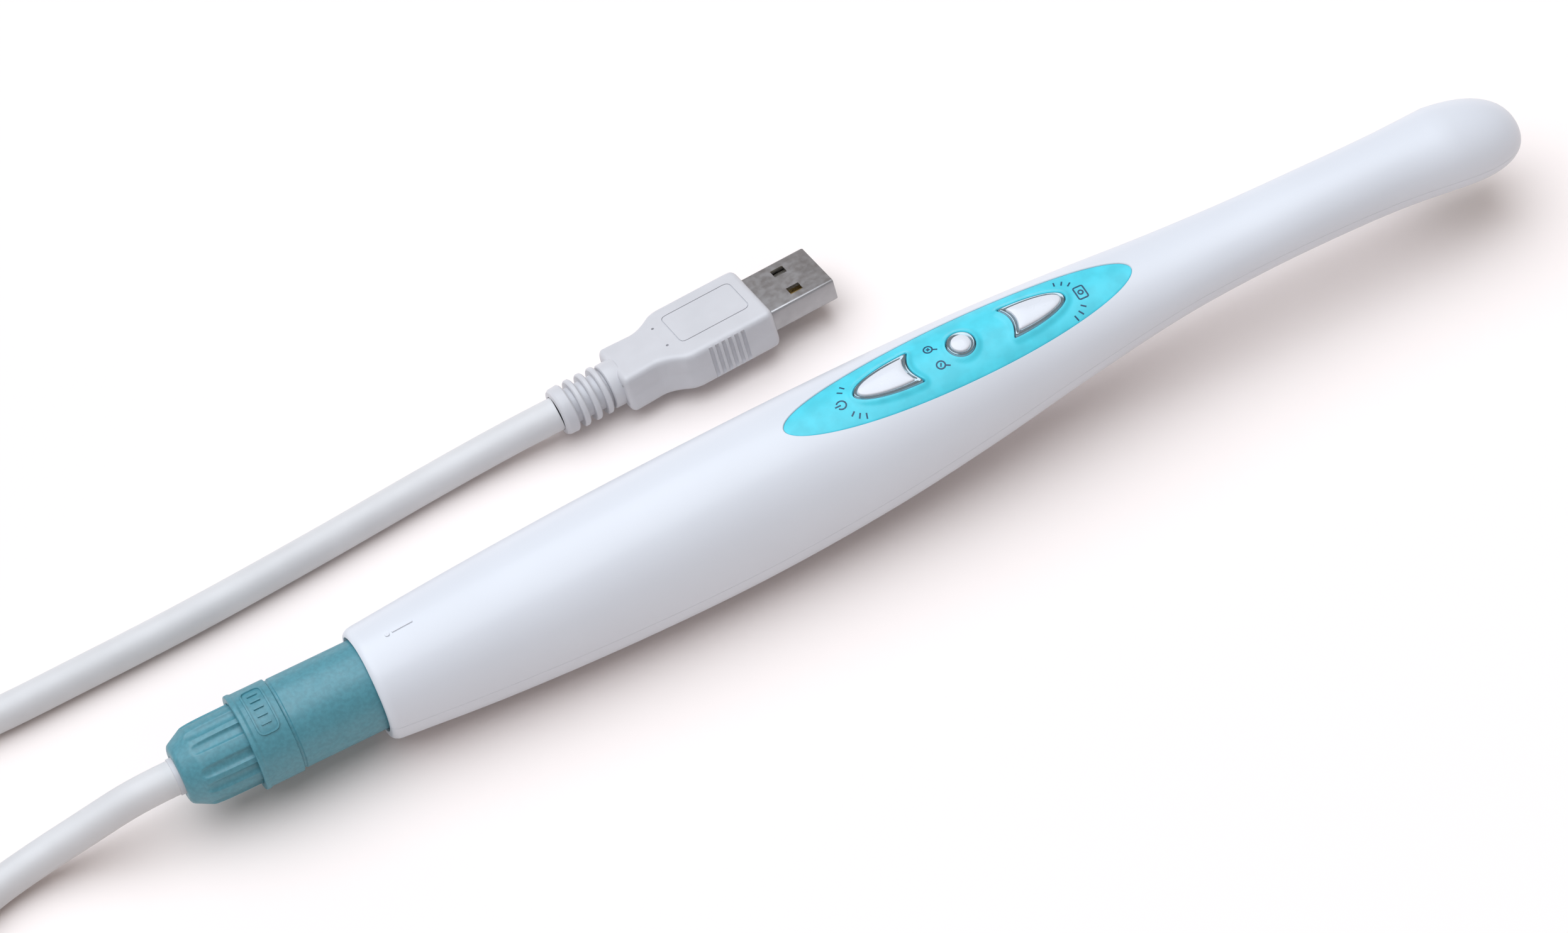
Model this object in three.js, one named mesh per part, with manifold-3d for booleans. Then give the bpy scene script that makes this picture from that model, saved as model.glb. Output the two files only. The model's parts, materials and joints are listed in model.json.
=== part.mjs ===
// Intraoral camera: a wand-shaped USB camera for looking inside the mouth.
// A two-shell handpiece holds a main board with three switches, a camera module and six lamps in its
// head, and a cable socket in its tail. A push-pull connector joins the cable, whose far end is a USB-A plug.
//
// Frame, in millimetres: +X runs from the cable end to the head, +Z up through the buttons. The origin is
// under the middle of the handpiece, on the table that its belly rests on. Y = 0 is the plane of symmetry.

import * as THREE from "three";
import Module from "manifold-3d";
import { mergeVertices } from "three/addons/utils/BufferGeometryUtils.js";

const wasm = await Module();
wasm.setup();

// ---------------------------------------------------------------- driving dimensions

const HALF_LENGTH = 131; // the handpiece with its cable connector is 262 long
const TAIL_X = -95.5; // back edge of the white shells
const NOSE_START_X = 116; // from here on the head closes as a dome
const NOSE_ROUNDNESS = 2.5; // exponent of the dome's superellipse; 2 would be an ellipse

// Sections of the handpiece along X: top and bottom edge, half width, and the height where it is widest.
// Each is an upper and a lower half ellipse that meet at the widest height, where the shells part.
const BODY_SECTIONS = [
  { x: TAIL_X, top: 21.3, bottom: 1.4, half: 10.4, widest: 11.35 },
  { x: -75, top: 23.0, bottom: -0.2, half: 12.1, widest: 10.9 },
  { x: -50, top: 24.8, bottom: -0.6, half: 13.45, widest: 10.8 },
  { x: -25, top: 26.25, bottom: -0.1, half: 13.8, widest: 11.2 },
  { x: 0, top: 26.85, bottom: 2.2, half: 13.35, widest: 13.3 },
  { x: 20, top: 27.15, bottom: 5.2, half: 12.1, widest: 15.7 },
  { x: 40, top: 26.65, bottom: 8.8, half: 10.15, widest: 18.1 },
  { x: 60, top: 25.6, bottom: 11.4, half: 8.15, widest: 19.4 },
  { x: 75, top: 25.2, bottom: 12.1, half: 7.35, widest: 19.45 },
  { x: 90, top: 25.1, bottom: 12.1, half: 7.15, widest: 19.1 },
  { x: 105, top: 24.7, bottom: 11.6, half: 7.45, widest: 18.3 },
  { x: NOSE_START_X, top: 24.4, bottom: 10.5, half: 8.3, widest: 17.4 },
];
const NOSE_DROOP = 0.2; // how far the dome's middle line sinks per mm of X
const WALL = 1.8;
const SHELL_GAP = 0.3; // parting gap between the two shells
const FAR = 140; // cutting tools reach this far, well outside the body
const TOP_FROM = 15; // tools for the top face reach from here
const TOP_TO = 40; // up to here
const SHELL_SIDES = 32;
const SHELL_STEP = 12; // spacing of the shell's sections along X
const TABLE_Z = 0; // the belly is flattened where it rests on the table

const PANEL = { x: 19.5, halfLength: 33.75, half: 6.65, sink: 0.15, thickness: 0.5 };
const FIT_GAP = 0.3; // clearance round pieces that sit in a cut
const STACK_GAP = 0.1; // clearance between flat pieces that rest on each other

const BUTTON_RISE = 0.7; // how far a button's top stands over the shell's surface
const BUTTON_TRAVEL = 0.5;
// The flange under a button: its depths below the body's surface, its lip and the stem under it.
const FLANGE = { top: 2.8, bottom: 3.2, lip: 0.9, stemRadius: 1.3 };
const BUTTONS = {
  on_off: { shape: "bullet", tip: -0.8, corner: 11, hollow: 9.7, half: 3.3, stem: 6 },
  zoom: { shape: "round", x: 19.9, radius: 2.45, stem: 19.9 },
  capture: { shape: "bullet", tip: 40.1, corner: 28.8, hollow: 29.9, half: 3.25, stem: 33.2 },
};

const BOARD = { back: -60, front: 44, half: 8.4, frontHalf: 4.8, bottom: 13.4, thickness: 1.2 };
const BOARD_TOP = BOARD.bottom + BOARD.thickness;
const VIDEO_CHIP = { x: -15, sizeX: 9, sizeY: 9, height: 1 };
const USB_CHIP = { x: -32, sizeX: 7, sizeY: 7, height: 0.9 };
const CRYSTAL = { x: -41, y: 4.4, sizeX: 4.6, sizeY: 2, height: 1.3 };
const CAPACITOR = { x: -41, y: -3.6, sizeX: 3.4, sizeY: 2.6, height: 1.7 };
const WIRE_PLUG = { x: -56, sizeX: 6.6, sizeY: 9.4, height: 3.2 };
const WIRE_BUNDLE_RADIUS = 1.4;
const FLEX_CONNECTOR = { x: 38.6, sizeX: 2.6, sizeY: 6, height: 1.4 };
const SWITCH = { side: 6, height: 3.6, plungerRadius: 1.7, plungerTop: 5.1, well: 1.9 };
const SCREWS = [
  [-50, 6.3],
  [-50, -6.3],
  [-4, 5.6],
  [-4, -5.6],
];
const SCREW = { headRadius: 1.5, headHeight: 1.1, shankRadius: 0.8, bossRadius: 2.1, reach: 4 };

const HEAD_X = 120; // centre of the lens window
// The lens window's oval, its outer face, the top of its wide rim and of the narrower neck above it.
const WINDOW = { halfX: 8.5, halfY: 6, face: 9.9, rim: 12.6, neck: 14, ledge: 1.4 };
// How far each oval of the bezel lies inside its outer one, and the glass in its seat.
const BEZEL = {
  neckInset: 1.5,
  seatInset: 1.7,
  seatDepth: 2,
  glassInset: 1.9,
  openingInset: 2.5,
  chamfer: 1.5,
  chamferHeight: 2.2,
};
const GLASS = { bottom: WINDOW.face + 0.3, top: WINDOW.face + 1.3 };
const LED_HALF = 0.6;
const LED_HEIGHT = 0.9;
const LED_PLACES = [-1, 1].flatMap((side) =>
  [-1, 0, 1].map((row) => [HEAD_X + side * (row ? 3.5 : 4.9), 1.75 * row]),
);
const LED_BOARD = { bottom: WINDOW.neck + FIT_GAP, thickness: 0.8, halfX: 6.3, halfY: 4.6, corner: 2.2 };
const MODULE_SHIFT = -0.5; // the lamp and sensor boards sit a little back from the window's centre
const HOLDER = { bottom: 15.3, top: 17.3, half: 3.9 };
const SENSOR_BOARD = { bottom: 18.4, thickness: 0.8, half: 4.1 };
const SENSOR_HALF = 3;
const BARREL = { radius: 2.5, bottom: 12.2, bore: 1.6, backBore: 1.9, boreStep: 15 };
const LENS = { radius: 1.45, bottom: 12.7, edge: 13.2, top: 14.4 };
const BARREL_GAP = 0.2;
const FLEX_THICKNESS = 0.3;
const FLEX_HALF = 2.5;

const AXIS_Z = 11.9; // height of the cable connector's axis
const TAIL_BORE_RADIUS = 8.55;
const TAIL_BORE_END = -72;
const TAIL_WALL = 4; // the shells' hollow starts this far in front of their back edge
// The sleeve: a thick collar behind, a thinner tube in front, and a wider bore that slides over the nut.
const SLEEVE = {
  back: -118.3,
  front: -89,
  collarEnd: -111,
  radius: 8.2,
  collarRadius: 8.5,
  bore: 7,
  wideBore: 7.65,
  chamfer: 0.3,
};
const SLEEVE_TRAVEL = 1.5; // the sleeve slides back this far to unlock the connector
const LATCH = { back: -123.5, front: -86, bore: 5.2, neckRadius: 6, radius: 6.6 };
const NUT = { back: -130.6, front: SLEEVE.back - FIT_GAP, radius: 7.3, bore: 6.3, hole: 4.3, seat: -128 };
const NUT_DOME = [
  // distance from the nut's back, radius
  [0, 4.7],
  [0.5, 5.55],
  [3.4, 7.05],
  [5, 7.2],
];
// The nut's paired flutes. Their centre lines stand outside it; spread is in radians, from a pair's middle.
const FLUTES = { lands: 6, radius: 2.1, outside: 1.6, spread: 0.215, end: -128 };
const CLAMP = { back: -127.6, front: -123.9, radius: 5.9 };
const GROMMET = { back: -131, front: -128.3, radius: 4 };
const CABLE_END_X = -104; // the jacket is stripped from here on
const PINS = { count: 5, circle: 2.9, radius: 0.5, back: -101.5, front: -78.5 };
const INSERT = { back: -99.5, front: -87, radius: 5 };
const SOCKET = { front: -85.6, back: -74, pinEnd: -70.4, radius: 8.2, holeRadius: 0.8, holeEnd: -77.8 };

const USB = { width: 12, height: 4.5, length: 12.6, wall: 0.3 };
const USB_WINDOWS = { back: -7.6, front: -5.1, y: 3.05, half: 1 };
const TONGUE = { front: -0.6, half: 5.5, bottom: -1.8, top: -0.05 };
const CONTACTS = { places: [-3.5, -1, 1, 3.5], back: -9.5, front: -1.8, half: 0.5 };
const USB_TIP = new THREE.Vector3(12.4, 41.1, 6);
const USB_TURN = { roll: -14.7, pitch: -0.5, yaw: 2.94 }; // degrees, rolled on its side by the stiff cable
// The grip: half width at the front and at the narrower back, and where each stretch ends along X.
const MOULD = {
  front: -12.9,
  shoulder: -29.5,
  waist: -36,
  back: -42.2,
  half: 8,
  backHalf: 5.5,
  height: 8,
  edge: 1.3,
};
const GROOVES = { count: 6, first: -19.4, spacing: 1.3, half: 0.3, depth: 0.35, reach: 2.8 };
const RELIEF = {
  end: -53.6,
  radius: 3.5,
  ringRadius: 4.45,
  endRing: 2,
  firstRing: -50,
  spacing: 2.4,
  rings: 3,
};

const CABLE_RADIUS = 3.1;
const CABLE_START_X = -131; // the free cable starts at the grommet's back
const TIE = { strap: 1, width: 6, corner: 2.4 };
const COIL = { x: -245, y: 7, inner: 22.4, outer: 47.5, bottom: 1.4, top: 20.4 };

// ---------------------------------------------------------------- materials

const look = (color, roughness, metalness = 0) => ({ color, roughness, metalness });
const LOOKS = {
  white_gloss: look(0xf1f2f7, 0.22),
  cyan_film: look(0x6fd5e8, 0.35),
  button_white: look(0xf6f8fa, 0.15),
  teal_satin: look(0x5e9197, 0.45),
  cable_white: look(0xe2e0dc, 0.5),
  plug_white: look(0xdcdad8, 0.45),
  plug_steel: look(0x9a9188, 0.35, 0.9),
  gold: look(0xd8b25c, 0.3, 1),
  board_green: look(0x1f6b45, 0.5),
  flex_amber: look(0xb87b2c, 0.4),
  chip_black: look(0x1c1c1f, 0.6),
  insert_black: look(0x222326, 0.55),
  insert_white: look(0xe8e6df, 0.5),
  screw_steel: look(0xb5b7ba, 0.3, 0.9),
  lens_glass: look(0xbfd6dd, 0.05),
  lamp_yellow: look(0xe9e3b4, 0.3),
  seal_black: look(0x2a2a2c, 0.8),
  wire_grey: look(0x6d6f74, 0.5),
};

// ---------------------------------------------------------------- solids and booleans

// A closed geometry as a manifold solid with its faces pointing out.
function solidFrom(geometry) {
  const bare = geometry.index ? geometry.toNonIndexed() : geometry.clone();
  bare.deleteAttribute("normal");
  bare.deleteAttribute("uv");
  const merged = mergeVertices(bare, 1e-4);
  const triVerts = new Uint32Array(merged.index.array);
  const vertProperties = merged.attributes.position.array;
  const make = () => new wasm.Manifold(new wasm.Mesh({ numProp: 3, vertProperties, triVerts }));
  const made = make();
  if (made.volume() >= 0) return made;
  for (let i = 0; i < triVerts.length; i += 3) {
    [triVerts[i + 1], triVerts[i + 2]] = [triVerts[i + 2], triVerts[i + 1]];
  }
  return make();
}

function geometryFrom(solid) {
  const mesh = solid.getMesh();
  const geometry = new THREE.BufferGeometry();
  geometry.setAttribute("position", new THREE.BufferAttribute(new Float32Array(mesh.vertProperties), 3));
  geometry.setIndex(new THREE.BufferAttribute(new Uint32Array(mesh.triVerts), 1));
  geometry.computeVertexNormals();
  return geometry;
}

const join = (solids) => solids.reduce((whole, next) => whole.add(next));
const cut = (solid, ...tools) => tools.reduce((left, tool) => left.subtract(tool), solid);
const common = (first, second) => first.intersect(second);

// ---------------------------------------------------------------- basic shapes

// A box between two corners.
function block(low, high) {
  const geometry = new THREE.BoxGeometry(high[0] - low[0], high[1] - low[1], high[2] - low[2]);
  geometry.translate((low[0] + high[0]) / 2, (low[1] + high[1]) / 2, (low[2] + high[2]) / 2);
  return solidFrom(geometry);
}

function rodX(radius, from, to, y = 0, z = AXIS_Z, sides = 24) {
  const geometry = new THREE.CylinderGeometry(radius, radius, to - from, sides);
  geometry.rotateZ(-Math.PI / 2);
  geometry.translate((from + to) / 2, y, z);
  return solidFrom(geometry);
}

function rodZ(radius, from, to, x, y, sides = 24) {
  const geometry = new THREE.CylinderGeometry(radius, radius, to - from, sides);
  geometry.rotateX(Math.PI / 2);
  geometry.translate(x, y, (from + to) / 2);
  return solidFrom(geometry);
}

// A body turned about an axis along X; the outline's points are [x, radius] and close on themselves.
function turnedX(outline, sides = 24, z = AXIS_Z) {
  const points = [...outline, outline[0]].map(([x, radius]) => new THREE.Vector2(radius, x));
  const geometry = new THREE.LatheGeometry(points, sides);
  geometry.rotateZ(-Math.PI / 2);
  geometry.scale(1, 1, -1);
  geometry.translate(0, 0, z);
  return solidFrom(geometry);
}

// A flat shape in X and Y, raised from one height to another.
function raised(shape, from, to, curveSegments = 6) {
  const geometry = new THREE.ExtrudeGeometry(shape, {
    depth: to - from,
    bevelEnabled: false,
    curveSegments,
  });
  geometry.translate(0, 0, from);
  return solidFrom(geometry);
}

// A flat shape in X and Z, widened from y = -half to y = +half.
function widened(shape, half, curveSegments = 6) {
  const geometry = new THREE.ExtrudeGeometry(shape, { depth: 2 * half, bevelEnabled: false, curveSegments });
  geometry.rotateX(Math.PI / 2);
  geometry.translate(0, half, 0);
  return solidFrom(geometry);
}

function shapeOf(points) {
  return new THREE.Shape(points.map(([a, b]) => new THREE.Vector2(a, b)));
}

// A rectangle with round corners, centred on (x, y).
function roundedRectangle(halfX, halfY, corner, x = 0, y = 0) {
  const shape = new THREE.Shape();
  shape.absarc(x + halfX - corner, y + halfY - corner, corner, 0, Math.PI / 2);
  shape.absarc(x - halfX + corner, y + halfY - corner, corner, Math.PI / 2, Math.PI);
  shape.absarc(x - halfX + corner, y - halfY + corner, corner, Math.PI, 1.5 * Math.PI);
  shape.absarc(x + halfX - corner, y - halfY + corner, corner, 1.5 * Math.PI, 2 * Math.PI);
  return shape;
}

// A tube along a smooth curve through the given points.
function tube(points, radius, sides, steps) {
  const section = new THREE.Shape();
  section.absarc(0, 0, radius, 0, 2 * Math.PI);
  const path = new THREE.CatmullRomCurve3(points.map((p) => new THREE.Vector3(...p)), false, "centripetal");
  const outline = new THREE.Shape(section.getPoints(sides).slice(0, sides));
  return solidFrom(new THREE.ExtrudeGeometry(outline, { steps, bevelEnabled: false, extrudePath: path }));
}

// A closed body through rings of points, each ring with the same number of points.
function lofted(rings, firstCentre, lastCentre) {
  const count = rings[0].length;
  const positions = [...rings.flat(2), ...firstCentre, ...lastCentre];
  const first = rings.length * count;
  const last = first + 1;
  const faces = [];
  for (let side = 0; side < count; side += 1) {
    const next = (side + 1) % count;
    for (let ring = 0; ring + 1 < rings.length; ring += 1) {
      const here = ring * count;
      const there = here + count;
      faces.push(here + side, here + next, there + side);
      faces.push(here + next, there + next, there + side);
    }
    faces.push(first, next, side);
    faces.push(last, (rings.length - 1) * count + side, (rings.length - 1) * count + next);
  }
  const geometry = new THREE.BufferGeometry();
  geometry.setAttribute("position", new THREE.Float32BufferAttribute(positions, 3));
  geometry.setIndex(faces);
  return solidFrom(geometry);
}

// ---------------------------------------------------------------- the handpiece's outer form

const sectionAt = new THREE.CubicInterpolant(
  BODY_SECTIONS.map((section) => section.x),
  BODY_SECTIONS.flatMap(({ top, bottom, half, widest }) => [top, bottom, half, widest]),
  4,
);

// The body's section at x, pushed out by offset: its widest height, the reach up and down from there,
// and its half width.
function bodyAt(x, offset = 0) {
  const [top, bottom, half, widest] = sectionAt.evaluate(Math.min(x, NOSE_START_X));
  const past = Math.max(x - NOSE_START_X, 0);
  const reach = HALF_LENGTH - NOSE_START_X + offset;
  const close = Math.max(1 - (past / reach) ** NOSE_ROUNDNESS, 0) ** (1 / NOSE_ROUNDNESS);
  return {
    widest: widest - NOSE_DROOP * past,
    up: (top - widest + offset) * close,
    down: (widest - bottom + offset) * close,
    half: (half + offset) * close,
  };
}

function topAt(x) {
  const { widest, up } = bodyAt(x);
  return widest + up;
}

// The body's form pushed out by offset, from startX to the tip of the nose.
function form(offset, startX = TAIL_X, sides = SHELL_SIDES, step = SHELL_STEP) {
  const stations = [];
  const count = Math.round((NOSE_START_X - startX) / step);
  for (let i = 0; i <= count; i += 1) stations.push(startX + ((NOSE_START_X - startX) * i) / count);
  const reach = HALF_LENGTH - NOSE_START_X + offset;
  for (const part of [0.3, 0.55, 0.75, 0.89, 0.97]) stations.push(NOSE_START_X + reach * part);
  const rings = stations.map((x) => {
    const { widest, up, down, half } = bodyAt(x, offset);
    return Array.from({ length: sides }, (_, i) => {
      const angle = (2 * Math.PI * i) / sides;
      const rise = Math.sin(angle);
      return [x, half * Math.cos(angle), widest + (rise > 0 ? up : down) * rise];
    });
  });
  const tipX = NOSE_START_X + reach;
  return lofted(rings, [startX, 0, bodyAt(startX).widest], [tipX, 0, bodyAt(tipX).widest]);
}

// Everything above (side = 1) or below (side = -1) the shells' parting surface.
function partingHalf(side) {
  const reach = 60 * side;
  const edge = [];
  for (let x = -FAR; x <= FAR; x += 10) {
    const { widest } = bodyAt(Math.max(x, TAIL_X));
    edge.push([x, widest + (side * SHELL_GAP) / 2]);
  }
  return widened(shapeOf([...edge, [FAR, reach], [-FAR, reach]]), 40);
}

// ---------------------------------------------------------------- outlines of the panel and the buttons

// The control panel's long oval, grown all round.
function panelShape(grow = 0) {
  const shape = new THREE.Shape();
  shape.absellipse(PANEL.x, 0, PANEL.halfLength + grow, PANEL.half + grow, 0, 2 * Math.PI);
  return shape;
}

// A button's outline seen from above: a disc, or a bullet with a hollow back edge.
function buttonShape(button, grow = 0) {
  const shape = new THREE.Shape();
  if (button.shape === "round") {
    shape.absarc(button.x, 0, button.radius + grow, 0, 2 * Math.PI);
    return shape;
  }
  const away = Math.sign(button.corner - button.tip);
  const tip = button.tip - away * grow;
  const corner = button.corner + away * grow;
  const half = button.half + grow;
  const shoulder = (tip + corner) / 2;
  const hollow = 2 * (button.hollow + away * grow) - corner;
  shape.moveTo(corner, -half);
  shape.quadraticCurveTo(hollow, 0, corner, half);
  shape.bezierCurveTo(shoulder, half, tip, 0.6 * half, tip, 0);
  shape.bezierCurveTo(tip, -0.6 * half, shoulder, -half, corner, -half);
  return shape;
}

// ---------------------------------------------------------------- the assembly and how meshes join it

const camera = new THREE.Group();

function add(name, solid, lookName, parent = camera) {
  const material = new THREE.MeshStandardMaterial(LOOKS[lookName]);
  const mesh = new THREE.Mesh(geometryFrom(solid), material);
  mesh.name = name;
  parent.add(mesh);
  return mesh;
}

// ---------------------------------------------------------------- shells, panel and buttons

const wholeForm = form(0);
const wall = cut(
  common(wholeForm, block([-FAR, -FAR, TABLE_Z], [FAR, FAR, FAR])),
  form(-WALL, TAIL_X + TAIL_WALL, 20, 18),
  rodX(TAIL_BORE_RADIUS, TAIL_X - 1, TAIL_BORE_END, 0, AXIS_Z, 36),
);

const buttonHoles = () =>
  Object.values(BUTTONS).map((button) => raised(buttonShape(button, FIT_GAP), TOP_FROM, TOP_TO));

function makeUpperShell() {
  const floor = form(-PANEL.sink - PANEL.thickness - FIT_GAP);
  const recess = cut(raised(panelShape(FIT_GAP), TOP_FROM, TOP_TO, 12), floor);
  return cut(common(wall, partingHalf(1)), recess, ...buttonHoles());
}

function windowShape(grow) {
  const shape = new THREE.Shape();
  shape.absellipse(HEAD_X, 0, WINDOW.halfX + grow, WINDOW.halfY + grow, 0, 2 * Math.PI);
  return shape;
}

function makeLowerShell() {
  const pocket = raised(windowShape(FIT_GAP), TABLE_Z, WINDOW.rim + FIT_GAP, 14);
  const through = raised(windowShape(FIT_GAP - WINDOW.ledge), TABLE_Z, WINDOW.neck + 1, 14);
  const shell = cut(common(wall, partingHalf(-1)), pocket, through);
  const inside = common(form(-0.5), partingHalf(-1));
  const bosses = SCREWS.map(([x, y]) =>
    common(rodZ(SCREW.bossRadius, 0.5, BOARD.bottom - STACK_GAP, x, y, 12), inside),
  );
  const bores = SCREWS.map(([x, y]) =>
    rodZ(SCREW.shankRadius + STACK_GAP, BOARD.bottom - SCREW.reach - 1, BOARD.bottom + 1, x, y, 10),
  );
  return cut(join([shell, ...bosses]), ...bores);
}

function makeControlPanel() {
  const outline = raised(panelShape(), TOP_FROM, TOP_TO, 12);
  const sheet = cut(common(outline, form(-PANEL.sink)), form(-PANEL.sink - PANEL.thickness));
  return cut(sheet, ...buttonHoles());
}

// A cap that follows the body's surface, a flange that keeps it in, and a stem down to its switch.
function makeButton(button) {
  const { top, bottom, lip, stemRadius } = FLANGE;
  const cap = cut(common(raised(buttonShape(button), TOP_FROM, TOP_TO), form(BUTTON_RISE)), form(-top));
  const flangeShape = raised(buttonShape(button, lip), TOP_FROM, TOP_TO);
  const flange = cut(common(flangeShape, form(-top + 0.5)), form(-bottom));
  const stemBottom = BOARD_TOP + SWITCH.plungerTop + STACK_GAP;
  const stemTop = topAt(button.stem) - (top + bottom) / 2;
  const stem = rodZ(stemRadius, stemBottom, stemTop, button.stem, 0, 12);
  const aboveSwitches = block([-FAR, -FAR, stemBottom], [FAR, FAR, FAR]);
  return common(join([cap, flange, stem]), aboveSwitches);
}

// A tact switch: a square housing with a round well for its plunger.
function makeSwitch(x) {
  const half = SWITCH.side / 2;
  const bottom = BOARD_TOP + STACK_GAP;
  const top = bottom + SWITCH.height;
  const housing = block([x - half, -half, bottom], [x + half, half, top]);
  return cut(housing, rodZ(SWITCH.plungerRadius + FIT_GAP, top - SWITCH.well, top + 1, x, 0, 16));
}

function makePlunger(x) {
  const bottom = BOARD_TOP + STACK_GAP + SWITCH.height - SWITCH.well + BUTTON_TRAVEL + STACK_GAP;
  return rodZ(SWITCH.plungerRadius, bottom, BOARD_TOP + SWITCH.plungerTop, x, 0, 16);
}

add("upper_shell", makeUpperShell(), "white_gloss");
add("lower_shell", makeLowerShell(), "white_gloss");
add("control_panel", makeControlPanel(), "cyan_film");
for (const [name, button] of Object.entries(BUTTONS)) {
  add(`${name}_button`, makeButton(button), "button_white");
  add(`${name}_plunger`, makePlunger(button.stem), "chip_black");
  add(`${name}_switch`, makeSwitch(button.stem), "insert_black");
}

// ---------------------------------------------------------------- the main board and what is on it

// Something flat that stands on the main board.
function onBoard({ x, y = 0, sizeX, sizeY, height }) {
  const bottom = BOARD_TOP + STACK_GAP;
  const low = [x - sizeX / 2, y - sizeY / 2, bottom];
  return block(low, [x + sizeX / 2, y + sizeY / 2, bottom + height]);
}

function makeMainBoard() {
  const { back, front, half, frontHalf, bottom } = BOARD;
  const outline = [
    [back, -half],
    [8, -half],
    [front - 4, -frontHalf],
    [front, -frontHalf + 1],
    [front, frontHalf - 1],
    [front - 4, frontHalf],
    [8, half],
    [back, half],
  ];
  const holes = SCREWS.map(([x, y]) => rodZ(1, bottom - 1, BOARD_TOP + 1, x, y, 10));
  return cut(raised(shapeOf(outline), bottom, BOARD_TOP), ...holes);
}

function makeBoardScrew(x, y) {
  const head = BOARD_TOP + STACK_GAP;
  return join([
    rodZ(SCREW.headRadius, head, head + SCREW.headHeight, x, y, 12),
    rodZ(SCREW.shankRadius, BOARD.bottom - SCREW.reach, head + 0.5, x, y, 8),
  ]);
}

add("main_board", makeMainBoard(), "board_green");
add("video_chip", onBoard(VIDEO_CHIP), "chip_black");
add("usb_chip", onBoard(USB_CHIP), "chip_black");
add("quartz_crystal", onBoard(CRYSTAL), "screw_steel");
add("filter_capacitor", onBoard(CAPACITOR), "insert_black");
SCREWS.forEach(([x, y], i) => add(`board_screw_${i + 1}`, makeBoardScrew(x, y), "screw_steel"));

// ---------------------------------------------------------------- the camera module and lamps in the head

function makeFlexRibbon() {
  const route = [
    [43.6, 15.3],
    [52, 16.6],
    [64, 18.4],
    [84, 19.3],
    [103, 19.2],
    [HEAD_X - 5, 18.7],
  ];
  const back = route.map(([x, z]) => [x, z + FLEX_THICKNESS]).reverse();
  return widened(shapeOf([...route, ...back]), FLEX_HALF);
}

function makeSensorBoard() {
  const { bottom, thickness, half } = SENSOR_BOARD;
  const x = HEAD_X + MODULE_SHIFT;
  return block([x - half, -half, bottom], [x + half, half, bottom + thickness]);
}

function makeImageSensor() {
  const low = [HEAD_X - SENSOR_HALF, -SENSOR_HALF, HOLDER.top + STACK_GAP];
  return block(low, [HEAD_X + SENSOR_HALF, SENSOR_HALF, SENSOR_BOARD.bottom - STACK_GAP]);
}

function makeLensHolder() {
  const { bottom, top, half } = HOLDER;
  const box = block([HEAD_X - half, -half, bottom], [HEAD_X + half, half, top]);
  return cut(box, rodZ(BARREL.radius + BARREL_GAP, bottom - 1, top + 1, HEAD_X, 0, 20));
}

function makeLensBarrel() {
  const { radius, bottom, bore, backBore, boreStep } = BARREL;
  const top = HOLDER.top - FIT_GAP;
  const front = rodZ(bore, bottom - 1, boreStep + 0.1, HEAD_X, 0, 20);
  const back = rodZ(backBore, boreStep, top + 1, HEAD_X, 0, 20);
  return cut(rodZ(radius, bottom, top, HEAD_X, 0, 20), front, back);
}

// The front lens: a short disc with a low dome towards the window.
function makeObjectiveLens() {
  const { radius, bottom, edge, top } = LENS;
  const profile = [
    [0, bottom],
    [radius / 2, bottom + (edge - bottom) / 4],
    [radius, edge],
    [radius, top],
    [0, top],
  ].map(([along, z]) => new THREE.Vector2(along, z));
  const geometry = new THREE.LatheGeometry(profile, 20);
  geometry.rotateX(Math.PI / 2);
  geometry.scale(1, -1, 1);
  geometry.translate(HEAD_X, 0, 0);
  return solidFrom(geometry);
}

function makeLedBoard() {
  const { bottom, thickness, halfX, halfY, corner } = LED_BOARD;
  const outline = roundedRectangle(halfX, halfY, corner, HEAD_X + MODULE_SHIFT);
  const hole = rodZ(BARREL.radius + BARREL_GAP, bottom - 1, bottom + 2, HEAD_X, 0, 20);
  return cut(raised(outline, bottom, bottom + thickness), hole);
}

function makeLedLamp(x, y) {
  const top = LED_BOARD.bottom - STACK_GAP;
  return block([x - LED_HALF, y - LED_HALF, top - LED_HEIGHT], [x + LED_HALF, y + LED_HALF, top]);
}

// The oval frame round the window: a wide rim outside and a narrower neck into the head.
function makeWindowBezel() {
  const { face, rim, neck } = WINDOW;
  const { neckInset, seatInset, seatDepth, openingInset, chamfer, chamferHeight } = BEZEL;
  const outline = (inset, z) => {
    return windowShape(-inset).getPoints(14).slice(0, -1).map((point) => [point.x, point.y, z]);
  };
  const rings = [outline(chamfer, face), outline(0, face + chamferHeight), outline(0, rim)];
  const ring = join([
    lofted(rings, [HEAD_X, 0, face], [HEAD_X, 0, rim]),
    raised(windowShape(-neckInset), rim - 1, neck, 14),
  ]);
  const seat = raised(windowShape(-seatInset), face - 1, face + seatDepth, 14);
  return cut(ring, seat, raised(windowShape(-openingInset), face - 1, neck + 1, 14));
}

function makeWindowGlass() {
  return raised(windowShape(-BEZEL.glassInset), GLASS.bottom, GLASS.top, 12);
}

function makeWindowSeal() {
  const ring = raised(windowShape(-BEZEL.glassInset), GLASS.top + STACK_GAP, WINDOW.face + 1.9, 12);
  return cut(ring, raised(windowShape(-BEZEL.openingInset), GLASS.top, WINDOW.rim, 12));
}

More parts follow.
